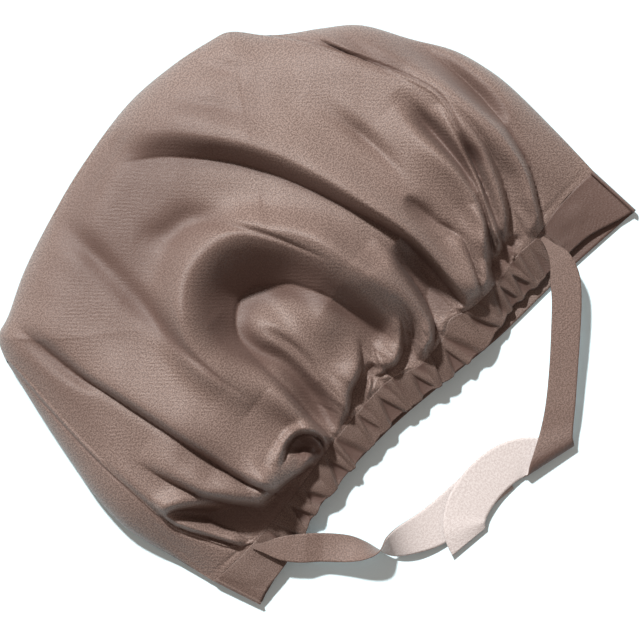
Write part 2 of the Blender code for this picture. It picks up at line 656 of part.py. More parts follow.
def brow_band():
    """Build the flat band that lies under the mouth and folds over both corners."""
    stations = []
    left = plan(-0.722, 0.0)[0] - SEAM_GAP
    right = plan(0.716, 0.0)[0] + SEAM_GAP
    sewing_left = plan(-0.927, 0.113)
    corner_left = plan(-0.875, 0.0)
    sewing_right = plan(0.988, 0.131)
    corner_right = plan(0.992, 0.0)
    for share in (0.0, 0.2, 0.4, 0.6, 0.8, 0.92):
        low_x = left + (corner_left[0] - left) * share
        high_x = left + (sewing_left[0] - left) * share
        low_y, low_z = at_x(LIP, low_x)
        high_y, high_z = at_x(SEWN, high_x)
        stations.append(((low_x, low_y, low_z), (high_x, high_y - 0.5 * SEAM_GAP, high_z)))
    for angle in (60.0, 30.0, 0.0, -30.0, -60.0):
        turn = math.radians(angle)
        low = (corner_left[0] + CORNER_LOW * (1 - math.cos(turn)), corner_left[1],
               CORNER_LOW * (1 + math.sin(turn)))
        high = (sewing_left[0] + CORNER_HIGH * (1 - math.cos(turn)), sewing_left[1] - 0.5 * SEAM_GAP,
                CORNER_HIGH * (1 + math.sin(turn)))
        stations.append((low, high))
    for index in range(25):
        share = index / 24.0
        low_x = (corner_left[0] + 2.0 * CORNER_LOW
                 + (corner_right[0] - corner_left[0] - 4.0 * CORNER_LOW) * share)
        high_x = (sewing_left[0] + 2.0 * CORNER_HIGH
                  + (sewing_right[0] - sewing_left[0] - 4.0 * CORNER_HIGH) * share)
        low_y = at_x(FRONT_LIP, low_x)[0]
        high_y = at_x(UNDER_SEWN, high_x)[0]
        stations.append(((low_x, low_y, 0.0), (high_x, high_y - 0.5 * SEAM_GAP, 0.0)))
    for angle in (-60.0, -30.0, 0.0, 30.0, 60.0):
        turn = math.radians(angle)
        low = (corner_right[0] - CORNER_LOW * (1 - math.cos(turn)), corner_right[1],
               CORNER_LOW * (1 + math.sin(turn)))
        high = (sewing_right[0] - CORNER_HIGH * (1 - math.cos(turn)), sewing_right[1] - 0.5 * SEAM_GAP,
                CORNER_HIGH * (1 + math.sin(turn)))
        stations.append((low, high))
    for share in (0.92, 0.8, 0.6, 0.4, 0.2, 0.0):
        low_x = right + (corner_right[0] - right) * share
        high_x = right + (sewing_right[0] - right) * share
        low_y, low_z = at_x(LIP, low_x)
        high_y, high_z = at_x(SEWN, high_x)
        stations.append(((low_x, low_y, low_z), (high_x, high_y - 0.5 * SEAM_GAP, high_z)))
    rows = []
    for level in (0.0, 0.33, 0.67, 1.0):
        rows.append([tuple(a + (b - a) * level for a, b in zip(low, high)) for low, high in stations])
    return grid_object("brow_band", rows, satin("satin_band", BAND_BROWN, 0.45), BAND_WALL, -1.0,
                       flip=True)


def support(x, y):
    """Give the height of the casing or band under a ribbon."""
    low_y, low_z = at_x(LIP, x)
    high_y, high_z = at_x(SEWN, x)
    if y < low_y - 0.5 * RIBBON_WALL - SEAM_GAP or y > high_y + HOLE_REACH:
        return 0.0
    depth = clamp((y - low_y) / (high_y - low_y))
    flat = low_z + (high_z - low_z) * depth ** 1.15
    return max(casing_top(x, depth)[1], flat)


def tie(name, table):
    """Build one ribbon from its table of sections."""
    rows = []
    for row in table:
        x, y = plan(row[1], row[2])
        rows.append((x, y, row[3] * TIE_LIFT, row[4], row[5], row[6]))
    sections = spline(rows, 2)
    edges = [[], [], []]
    for x, y, z, side, bank, width in sections:
        half = 0.5 * width * TIE_WIDTH
        turn = math.radians(side)
        tip = math.radians(bank)
        lift = 0.0
        points = []
        for step in range(-4, 5):
            level = step / 4.0
            px = x + level * half * math.cos(turn) * math.cos(tip)
            py = y + level * half * math.sin(turn) * math.cos(tip)
            pz = z + level * half * math.sin(tip)
            under = support(px, py)
            if under > 0.0:
                lift = max(lift, under + 0.5 * RIBBON_WALL + RIBBON_GAP - pz)
            lift = max(lift, 0.5 * RIBBON_WALL + FLOOR_GAP - pz)
            if step in (-4, 0, 4):
                points.append((px, py, pz))
        for index, point in enumerate(points):
            edges[index].append((point[0], point[1], point[2] + lift))
    return grid_object(name, edges, satin("satin_" + name, RIBBON_BROWN, 0.40), RIBBON_WALL, 0.0)


def main():
    """Clear the scene and build every piece."""
    for old in list(bpy.data.objects):
        bpy.data.objects.remove(old, do_unlink=True)
    front_panel()
    back_panel()
    nape_casing()
    brow_band()
    tie("tie_left", LEFT_TIE)
    tie("tie_right", RIGHT_TIE)


main()
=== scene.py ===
"""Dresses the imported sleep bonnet: gathered crown, front panel, casing, brow band and ribbons."""

import logging
import math
from dataclasses import dataclass, field
from enum import Enum
from typing import Callable, Sequence

import bmesh
import bpy
import numpy as np
from mathutils import Matrix, Vector

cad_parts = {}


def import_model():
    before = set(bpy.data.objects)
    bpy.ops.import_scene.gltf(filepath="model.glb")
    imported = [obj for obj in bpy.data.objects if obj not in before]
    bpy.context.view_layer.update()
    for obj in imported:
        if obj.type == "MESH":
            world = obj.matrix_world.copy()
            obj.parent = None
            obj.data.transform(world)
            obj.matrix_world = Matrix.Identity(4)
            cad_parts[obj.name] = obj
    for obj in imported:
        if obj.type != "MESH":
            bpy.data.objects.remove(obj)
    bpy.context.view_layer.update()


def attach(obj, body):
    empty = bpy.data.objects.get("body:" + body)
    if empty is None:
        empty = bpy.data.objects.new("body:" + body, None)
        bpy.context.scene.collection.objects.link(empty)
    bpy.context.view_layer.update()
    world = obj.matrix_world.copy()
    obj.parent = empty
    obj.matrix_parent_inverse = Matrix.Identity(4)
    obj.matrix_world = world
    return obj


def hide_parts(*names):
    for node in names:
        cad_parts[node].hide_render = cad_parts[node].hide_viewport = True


LOG = logging.getLogger("sleep_bonnet")

Row = tuple
Numbers = np.ndarray
Shape = Callable[[Numbers, Numbers], Numbers]

RIM_STEPS = 5
LINE_STEPS = 8
WAY_STEPS = 16
TIE_STEPS = 12


class Face(Enum):
    """Which way up a woven face is worn."""

    SATIN = "satin"
    REVERSE = "reverse"

    def specular(self) -> float:
        """Give how strongly the face shines."""
        return 0.40 if self is Face.SATIN else 0.25


@dataclass(frozen=True)
class Sizes:
    """Named sizes that the shares in the tables refer to, in metres but for two shares."""

    half_width: float = 0.168
    depth: float = 0.253
    crown_rise: float = 0.050
    origin_back: float = 0.494
    tie_width: float = 0.0165
    tie_lift: float = 0.010
    edge_round: float = 0.030
    inland_round: float = 0.105
    foot_round: float = 0.085
    fold_foot: float = 0.0065
    under_round: float = 0.011
    ruffle_pitch: float = 0.0095
    ruffle_height: float = 0.0019
    seam_gap: float = 0.000014
    # the sum of crease depths and shade spots that gets the full painted shade
    darkest_painted_shade: float = 0.32
    welt_reach: float = 0.0010
    welt_height: float = 0.0009
    lip_margin: float = 0.001
    foot_margin: float = 0.012

    def plan(self, across: float, back: float) -> tuple[float, float]:
        """Turn shares across and back into metres."""
        return across * self.half_width, (back - self.origin_back) * self.depth


SIZES = Sizes()


@dataclass(frozen=True)
class Gathers:
    """How the casing's ruffles and the pleats above them stand.

    Ends are shares across, sides are in ruffles, and lengths are in metres.
    """

    left_end: float = -0.735
    right_end: float = 0.690
    end_fade: float = 0.016
    steep_side: float = 0.45
    slow_side: float = 1.10
    fullness: float = 1.15
    sink: float = 0.45
    edge_push: float = 0.55
    edge_lift: float = 0.55
    inner_lift: float = 0.45
    slant: float = 1.15
    foot_share: float = 0.55
    sway: float = 0.10
    sway_turns: float = 23.0
    sway_start: float = 0.5
    pleat_spread: float = 0.020
    pleat_foot: float = 0.003
    pleat_length: float = 0.017
    pleat_power: float = 1.4
    pleat_share: float = 0.9


@dataclass(frozen=True)
class Dome:
    """How the crown rises from its folded edge, as shares of its rise or in metres."""

    top: float = 0.84
    edge_share: float = 0.66
    inland_share: float = 0.34
    rim_start: float = 0.9
    ripple_height: float = 0.00030
    ripple_shortest: float = 0.012
    ripple_longest: float = 0.040
    ripple_seed: int = 5
    ripple_foot: float = 0.010
    step: float = 0.0006
    step_reach: float = 0.004
    step_top: float = 0.017


@dataclass(frozen=True)
class Creases:
    """How far folds are felt and how wide the painted shade along them is, in crests, falls or
    widths.
    """

    roll_reach: float = 3.2
    groove_reach: float = 3.0
    dip_width: float = 0.5
    dip_power: float = 1.3
    painted_shade_inside: float = 0.60
    painted_shade_outside: float = 0.30
    welt_centre: float = 0.8
    welt_dip: float = 0.8
    welt_painted_shade: float = 0.55
    welt_felt: float = 4.0


# name, across, back, rise of the folded edge, from the left of the mouth round to its right
OUTLINE: tuple[Row, ...] = (
    ("left_band_top", -0.927, 0.115, 0.085),
    ("left_hip", -0.958, 0.215, 0.120),
    ("left_waist", -0.985, 0.290, 0.150),
    ("left_bulge", -1.000, 0.360, 0.165),
    ("left_side", -0.990, 0.450, 0.170),
    ("left_slope", -0.965, 0.530, 0.170),
    ("left_shoulder", -0.925, 0.650, 0.165),
    ("left_neck", -0.885, 0.755, 0.160),
    ("left_kink", -0.865, 0.805, 0.160),
    ("left_step", -0.825, 0.850, 0.170),
    ("far_left", -0.750, 0.866, 0.180),
    ("far_left_mid", -0.600, 0.910, 0.190),
    ("far_mid_left", -0.400, 0.950, 0.200),
    ("far_near_middle", -0.200, 0.980, 0.210),
    ("far_middle", 0.050, 1.000, 0.215),
    ("far_past_middle", 0.250, 0.988, 0.210),
    ("far_mid_right", 0.400, 0.965, 0.200),
    ("right_corner", 0.475, 0.945, 0.190),
    ("right_kink", 0.545, 0.885, 0.180),
    ("right_dip", 0.610, 0.845, 0.175),
    ("right_shoulder", 0.700, 0.800, 0.170),
    ("right_bulge", 0.800, 0.740, 0.170),
    ("right_upper", 0.880, 0.640, 0.170),
    ("right_high", 0.955, 0.550, 0.170),
    ("right_side", 0.990, 0.460, 0.165),
    ("right_widest", 1.000, 0.380, 0.160),
    ("right_waist", 0.996, 0.250, 0.130),
    ("right_band_top", 0.988, 0.140, 0.090),
)

# name, across, back, rise along the stitches above the casing and the bands
SEWING: tuple[Row, ...] = (
    ("left_fold", -0.927, 0.113, 0.085),
    ("left_flat", -0.850, 0.110, 0.190),
    ("left_hole", -0.750, 0.108, 0.215),
    ("left_gather", -0.600, 0.112, 0.250),
    ("left_mound", -0.450, 0.122, 0.280),
    ("left_tuck", -0.300, 0.135, 0.300),
    ("middle_left", -0.100, 0.143, 0.310),
    ("middle", 0.000, 0.138, 0.310),
    ("middle_dip", 0.100, 0.113, 0.295),
    ("middle_right", 0.220, 0.118, 0.300),
    ("right_lift", 0.280, 0.136, 0.310),
    ("right_tuck", 0.360, 0.118, 0.300),
    ("right_gather", 0.450, 0.114, 0.285),
    ("right_seam", 0.585, 0.125, 0.260),
    ("right_hole", 0.690, 0.122, 0.225),
    ("right_flat", 0.800, 0.133, 0.205),
    ("right_near_fold", 0.900, 0.135, 0.180),
    ("right_fold", 0.988, 0.131, 0.090),
)

# name, across, back, rise along the mouth's upper edge
MOUTH: tuple[Row, ...] = (
    ("left_corner", -0.875, 0.000, 0.070),
    ("left_near", -0.820, 0.012, 0.130),
    ("left_flat", -0.720, 0.020, 0.150),
    ("left_gather", -0.620, 0.034, 0.165),
    ("left_mid", -0.500, 0.055, 0.190),
    ("left_inner", -0.350, 0.060, 0.195),
    ("middle_left", -0.150, 0.068, 0.190),
    ("middle", 0.000, 0.060, 0.190),
    ("middle_right", 0.150, 0.043, 0.195),
    ("right_inner", 0.300, 0.034, 0.195),
    ("right_rise", 0.450, 0.050, 0.115),
    ("right_gather", 0.600, 0.045, 0.105),
    ("right_flat", 0.730, 0.042, 0.099),
    ("right_mid", 0.820, 0.036, 0.096),
    ("right_near", 0.920, 0.014, 0.081),
    ("right_corner", 0.992, 0.000, 0.070),
)

# where the flat band takes over from the gathered casing, across
CASING_ENDS = (-0.722, 0.716)

# name, across, back along the brow edge that lies on the surface
BROW: tuple[Row, ...] = (
    ("left_corner", -0.875, 0.000),
    ("left_near", -0.700, 0.026),
    ("left_mid", -0.450, 0.058),
    ("middle_left", -0.150, 0.062),
    ("middle_right", 0.100, 0.046),
    ("right_mid", 0.350, 0.026),
    ("right_near", 0.650, 0.018),
    ("right_corner", 0.992, 0.000),
)

# name, across, back of the seam between the brow band and the underside
UNDER_SEAM: tuple[Row, ...] = (
    ("left_fold", -0.927, 0.113),
    ("left_near", -0.850, 0.124),
    ("left_mid", -0.700, 0.134),
    ("right_mid", 0.700, 0.135),
    ("right_near", 0.880, 0.134),
    ("right_fold", 0.988, 0.131),
)

# name, across, back up the left seam
LEFT_SEAM: tuple[Row, ...] = (
    ("foot", -0.745, 0.112),
    ("bend", -0.800, 0.140),
    ("rise", -0.850, 0.210),
    ("turn", -0.884, 0.270),
    ("low", -0.889, 0.400),
    ("middle", -0.890, 0.520),
    ("high", -0.878, 0.660),
    ("top", -0.866, 0.762),
    ("kink", -0.865, 0.805),
)

# name, across, back up the right seam
RIGHT_SEAM: tuple[Row, ...] = (
    ("foot", 0.585, 0.126),
    ("bend", 0.590, 0.180),
    ("rise", 0.640, 0.252),
    ("turn", 0.700, 0.318),
    ("low", 0.755, 0.410),
    ("waist", 0.796, 0.490),
    ("middle", 0.780, 0.565),
    ("high", 0.705, 0.695),
    ("upper", 0.625, 0.800),
    ("top", 0.572, 0.856),
    ("kink", 0.545, 0.885),
)

# name, across, back, reach across, reach back, rise: the broad swells and hollows of the crown
SWELLS: tuple[Row, ...] = (
    ("left_body", -0.520, 0.400, 0.260, 0.300, 0.130),
    ("left_foot_swell", -0.470, 0.240, 0.150, 0.130, 0.110),
    ("centre_hollow", -0.120, 0.500, 0.170, 0.140, -0.420),
    ("inner_mound", -0.165, 0.420, 0.060, 0.060, 0.200),
    ("inner_low_mound", -0.030, 0.350, 0.070, 0.085, 0.170),
    ("middle_mound", 0.220, 0.420, 0.160, 0.220, 0.100),
    ("far_swell", -0.150, 0.800, 0.450, 0.120, 0.060),
    ("right_body", 0.600, 0.520, 0.250, 0.250, 0.080),
    ("left_foot_hollow", -0.720, 0.170, 0.110, 0.060, -0.060),
    ("middle_foot_hollow", 0.060, 0.200, 0.120, 0.070, -0.060),
)

# name, across, back, reach across, reach back, strength of the painted shade laid where the satin
# turns from the light
PAINTED_SHADES: tuple[Row, ...] = (
    ("far_lobe_top", 0.690, 0.780, 0.070, 0.080, 0.150),
    ("far_lobe", 0.790, 0.670, 0.080, 0.100, 0.210),
    ("far_lobe_side", 0.895, 0.510, 0.040, 0.090, 0.220),
    ("far_lobe_end", 0.920, 0.390, 0.032, 0.070, 0.200),
    ("far_lobe_foot", 0.865, 0.285, 0.030, 0.050, 0.110),
    ("strip_pit", 0.742, 0.362, 0.020, 0.036, 0.300),
    ("left_top", -0.405, 0.820, 0.040, 0.100, 0.080),
    ("left_middle", -0.412, 0.670, 0.036, 0.090, 0.140),
    ("left_lower", -0.416, 0.545, 0.028, 0.070, 0.140),
    ("left_end", -0.406, 0.440, 0.014, 0.050, 0.140),
    ("far_lobe_low", 0.890, 0.440, 0.050, 0.110, 0.040),
    ("far_right", 0.600, 0.820, 0.060, 0.090, 0.070),
    ("crescent_left", -0.250, 0.450, 0.050, 0.080, 0.100),
    ("crescent_top", -0.140, 0.530, 0.130, 0.050, 0.160),
    ("crescent_right", -0.010, 0.430, 0.045, 0.080, 0.140),
    ("crescent_limb", 0.055, 0.350, 0.035, 0.060, 0.080),
    ("far_left", -0.380, 0.780, 0.420, 0.220, 0.210),
    ("middle_far", 0.050, 0.860, 0.380, 0.130, 0.140),
    ("left_edge", -0.800, 0.620, 0.060, 0.200, 0.100),
    ("left_low", -0.640, 0.330, 0.100, 0.140, 0.120),
    ("pit", -0.230, 0.235, 0.050, 0.075, 0.190),
    ("hook", -0.380, 0.165, 0.040, 0.030, 0.340),
    ("right_foot", 0.560, 0.180, 0.060, 0.040, 0.060),
    ("band_left", -0.560, 0.110, 0.120, 0.040, 0.100),
)


@dataclass(frozen=True)
class Roll:
    """A fold's soft roll that rises on the left of a crease.

    Each point of the way is across, back, strength and reach. Rise and dip are shares of the
    crown's rise, crest and fall are shares of half the width, and hard runs from a soft slope at
    nought to an upright side at one.
    """

    name: str
    rise: float
    crest: float
    fall: float
    hard: float
    dip: float
    way: tuple[Row, ...]


@dataclass(frozen=True)
class Groove:
    """A hollow, or with a depth under nought a ridge, along a way of the same kind of points."""

    name: str
    depth: float
    width: float
    way: tuple[Row, ...]


ROLLS: tuple[Roll, ...] = (
    Roll("long_roll", 0.300, 0.070, 0.130, 0.35, 0.05, (
        (-0.130, 0.925, 0.0, 1.6), (-0.065, 0.895, 0.30, 1.5), (0.008, 0.855, 0.65, 1.3),
        (0.085, 0.795, 0.95, 1.15), (0.140, 0.748, 1.0, 1.05), (0.188, 0.695, 1.05, 1.0),
        (0.232, 0.632, 1.05, 0.95), (0.270, 0.565, 1.05, 0.80), (0.301, 0.500, 1.0, 0.68),
        (0.328, 0.435, 1.0, 0.56), (0.350, 0.380, 1.0, 0.46), (0.364, 0.330, 0.95, 0.38),
        (0.362, 0.250, 0.9, 0.38), (0.350, 0.165, 0.8, 0.40), (0.345, 0.120, 0.0, 0.40))),
    Roll("arch_roll", 0.440, 0.165, 0.075, 0.42, 0.04, (
        (-0.262, 0.330, 0.0, 0.8), (-0.270, 0.390, 0.30, 0.8), (-0.262, 0.450, 0.60, 0.9),
        (-0.222, 0.488, 0.90, 1.0), (-0.166, 0.510, 1.0, 1.1), (-0.106, 0.506, 1.0, 1.1),
        (-0.050, 0.480, 1.0, 1.05), (-0.008, 0.455, 0.95, 0.95), (0.024, 0.415, 0.90, 0.90),
        (0.048, 0.375, 0.80, 0.80), (0.068, 0.330, 0.66, 0.75), (0.082, 0.290, 0.50, 0.70),
        (0.092, 0.245, 0.32, 0.65), (0.095, 0.200, 0.16, 0.60), (0.095, 0.150, 0.0, 0.50))),
    Roll("crisp_roll", 0.170, 0.034, 0.120, 0.90, 0.05, (
        (-0.752, 0.840, 0.0, 1.6), (-0.742, 0.760, 0.35, 1.5), (-0.734, 0.690, 0.50, 1.3),
        (-0.722, 0.635, 0.65, 1.1), (-0.704, 0.580, 0.90, 1.0), (-0.686, 0.520, 1.0, 0.9),
        (-0.672, 0.470, 1.0, 0.9), (-0.658, 0.420, 1.0, 0.9), (-0.645, 0.370, 1.0, 0.9),
        (-0.628, 0.310, 1.0, 0.9), (-0.614, 0.260, 1.1, 0.9), (-0.598, 0.215, 1.2, 0.9),
        (-0.576, 0.178, 1.2, 0.9), (-0.560, 0.152, 0.8, 0.8), (-0.540, 0.125, 0.0, 0.8))),
    Roll("side_roll", 0.260, 0.034, 0.070, 0.90, 0.05, (
        (-0.805, 0.430, 0.0, 1.2), (-0.788, 0.375, 0.35, 1.1), (-0.771, 0.335, 0.55, 0.9),
        (-0.752, 0.295, 0.75, 0.9), (-0.733, 0.258, 0.90, 0.9), (-0.700, 0.215, 1.1, 1.0),
        (-0.668, 0.180, 1.1, 1.0), (-0.642, 0.152, 0.9, 1.0), (-0.615, 0.125, 0.0, 0.9))),
    Roll("pocket_top", 0.170, 0.034, 0.050, 0.85, 0.06, (
        (-0.890, 0.306, 0.0, 0.8), (-0.855, 0.294, 0.7, 0.8), (-0.825, 0.280, 0.9, 0.8),
        (-0.795, 0.262, 0.7, 0.8), (-0.768, 0.243, 0.4, 0.8), (-0.735, 0.215, 0.0, 0.8))),
    Roll("mound_lip", 0.210, 0.022, 0.110, 0.90, 0.04, (
        (-0.630, 0.160, 0.0, 0.8), (-0.600, 0.155, 0.6, 0.8), (-0.560, 0.150, 1.0, 0.9),
        (-0.500, 0.146, 1.0, 1.0), (-0.450, 0.138, 1.0, 1.0), (-0.415, 0.133, 1.0, 0.8),
        (-0.398, 0.122, 0.7, 0.5), (-0.392, 0.106, 0.0, 0.4))),
    Roll("hook_roll", 0.130, 0.016, 0.026, 0.85, 0.10, (
        (-0.480, 0.180, 0.0, 1.6), (-0.448, 0.192, 0.5, 1.3), (-0.412, 0.203, 0.9, 1.0),
        (-0.378, 0.205, 1.0, 1.0), (-0.348, 0.197, 1.0, 1.0), (-0.326, 0.180, 1.0, 1.0),
        (-0.322, 0.158, 1.0, 1.0), (-0.338, 0.136, 1.0, 0.9), (-0.362, 0.118, 0.7, 0.7),
        (-0.378, 0.104, 0.0, 0.5))),
    Roll("mound_wall", 0.220, 0.024, 0.040, 0.85, 0.06, (
        (-0.330, 0.112, 0.0, 0.5), (-0.306, 0.134, 0.9, 0.7), (-0.294, 0.160, 1.0, 0.9),
        (-0.290, 0.200, 1.0, 1.0), (-0.284, 0.240, 1.0, 1.1), (-0.277, 0.290, 0.85, 1.3),
        (-0.274, 0.340, 0.55, 1.6), (-0.275, 0.400, 0.25, 1.8), (-0.280, 0.470, 0.0, 2.0))),
    Roll("centre_lip", 0.150, 0.022, 0.060, 0.90, 0.05, (
        (-0.275, 0.138, 0.0, 0.8), (-0.235, 0.146, 0.7, 0.9), (-0.200, 0.150, 0.9, 1.0),
        (-0.160, 0.166, 1.0, 1.0), (-0.120, 0.184, 1.0, 1.0), (-0.080, 0.192, 1.0, 1.0),
        (-0.040, 0.207, 0.8, 1.0), (0.000, 0.236, 0.3, 1.0), (0.030, 0.262, 0.0, 1.0))),
    Roll("crescent_fold", 0.070, 0.014, 0.016, 0.8, 0.03, (
        (-0.120, 0.144, 0.0, 1.0), (-0.085, 0.152, 1.0, 1.0), (-0.055, 0.164, 1.0, 1.0),
        (-0.035, 0.180, 0.8, 1.0), (-0.025, 0.200, 0.0, 1.0))),
    Roll("middle_lip", 0.150, 0.022, 0.060, 0.90, 0.05, (
        (-0.040, 0.172, 0.0, 0.7), (-0.015, 0.160, 0.7, 0.9), (0.020, 0.153, 1.0, 1.0),
        (0.060, 0.154, 1.0, 1.0), (0.098, 0.166, 0.9, 1.0), (0.130, 0.186, 0.6, 0.9),
        (0.160, 0.214, 0.2, 0.8), (0.180, 0.240, 0.0, 0.8))),
    Roll("strut_side", 0.240, 0.030, 0.070, 0.90, 0.05, (
        (0.110, 0.106, 0.0, 0.5), (0.165, 0.118, 0.8, 0.6), (0.210, 0.138, 1.0, 0.7),
        (0.243, 0.166, 1.0, 0.8), (0.268, 0.208, 1.0, 0.9), (0.288, 0.258, 1.0, 1.0),
        (0.300, 0.308, 0.8, 1.2), (0.306, 0.345, 0.4, 1.4), (0.305, 0.390, 0.0, 1.6))),
    Roll("right_foot_roll", 0.130, 0.022, 0.040, 0.85, 0.05, (
        (0.362, 0.084, 0.0, 0.7), (0.386, 0.101, 0.9, 0.8), (0.420, 0.128, 1.0, 0.9),
        (0.450, 0.158, 1.0, 1.0), (0.476, 0.190, 1.0, 1.0), (0.502, 0.232, 0.6, 1.1),
        (0.518, 0.262, 0.0, 1.2))),
    Roll("right_foot_step", 0.190, 0.026, 0.040, 0.85, 0.05, (
        (0.440, 0.088, 0.0, 0.8), (0.464, 0.110, 0.9, 0.9), (0.494, 0.136, 1.0, 1.0),
        (0.526, 0.162, 1.0, 1.0), (0.562, 0.190, 0.9, 1.1), (0.600, 0.226, 0.5, 1.2),
        (0.640, 0.270, 0.0, 1.2))),
    Roll("inner_strip", 0.170, 0.046, 0.070, 0.45, 0.05, (
        (0.540, 0.160, 0.0, 0.5), (0.575, 0.195, 0.9, 0.5), (0.606, 0.226, 1.0, 0.5),
        (0.637, 0.266, 1.0, 0.55), (0.668, 0.312, 1.0, 0.65), (0.696, 0.362, 1.0, 0.80),
        (0.711, 0.415, 0.8, 0.95), (0.716, 0.480, 0.4, 1.1), (0.718, 0.560, 0.0, 1.3))),
    Roll("strip_edge", 0.150, 0.018, 0.022, 0.90, 0.05, (
        (0.560, 0.140, 0.0, 0.8), (0.590, 0.165, 0.9, 0.9), (0.622, 0.205, 1.0, 1.0),
        (0.656, 0.250, 1.0, 1.0), (0.688, 0.300, 1.0, 1.0), (0.718, 0.350, 1.0, 1.1),
        (0.744, 0.400, 0.8, 1.2), (0.768, 0.450, 0.4, 1.3), (0.786, 0.490, 0.0, 1.4))),
    Roll("lobe_roll", 0.170, 0.028, 0.040, 0.85, 0.05, (
        (0.608, 0.158, 0.0, 0.8), (0.640, 0.180, 0.9, 0.9), (0.680, 0.203, 1.0, 1.0),
        (0.712, 0.232, 1.0, 1.0), (0.743, 0.268, 1.0, 1.0), (0.768, 0.306, 1.0, 1.0),
        (0.790, 0.352, 0.9, 1.0), (0.804, 0.410, 0.6, 1.0), (0.812, 0.490, 0.0, 1.0))),
    Roll("lobe_valley", 0.200, 0.042, 0.070, 0.72, 0.05, (
        (0.700, 0.092, 0.0, 0.4), (0.724, 0.122, 0.5, 0.4), (0.754, 0.150, 0.8, 0.4),
        (0.784, 0.180, 1.0, 0.5), (0.814, 0.210, 1.0, 0.55), (0.842, 0.248, 1.0, 0.60),
        (0.864, 0.295, 1.0, 0.75), (0.884, 0.350, 1.0, 0.95), (0.898, 0.430, 1.0, 1.10),
        (0.900, 0.510, 0.8, 1.2), (0.890, 0.600, 0.4, 1.3), (0.870, 0.700, 0.0, 1.4))),
    Roll("seam_fold", 0.090, 0.020, 0.040, 0.80, 0.04, (
        (0.655, 0.800, 0.0, 1.0), (0.668, 0.765, 1.0, 1.0), (0.686, 0.725, 1.0, 1.0),
        (0.708, 0.688, 0.9, 1.0), (0.735, 0.640, 0.6, 1.0), (0.762, 0.595, 0.0, 1.0))),
    Roll("lobe_crease", 0.040, 0.016, 0.030, 0.8, 0.03, (
        (0.698, 0.205, 0.0, 1.0), (0.684, 0.175, 1.0, 1.0), (0.668, 0.148, 1.0, 1.0),
        (0.655, 0.120, 0.0, 1.0))),
    Roll("left_seam_roll", 0.120, 0.020, 0.045, 0.85, 0.06, (
        (-0.884, 0.500, 0.0, 0.8), (-0.884, 0.400, 0.4, 0.8), (-0.882, 0.320, 0.7, 0.8),
        (-0.876, 0.270, 0.9, 0.9), (-0.856, 0.232, 1.0, 1.0), (-0.830, 0.197, 1.0, 1.0),
        (-0.806, 0.165, 1.0, 0.9), (-0.783, 0.135, 1.0, 0.8), (-0.755, 0.108, 0.0, 0.6))),
)

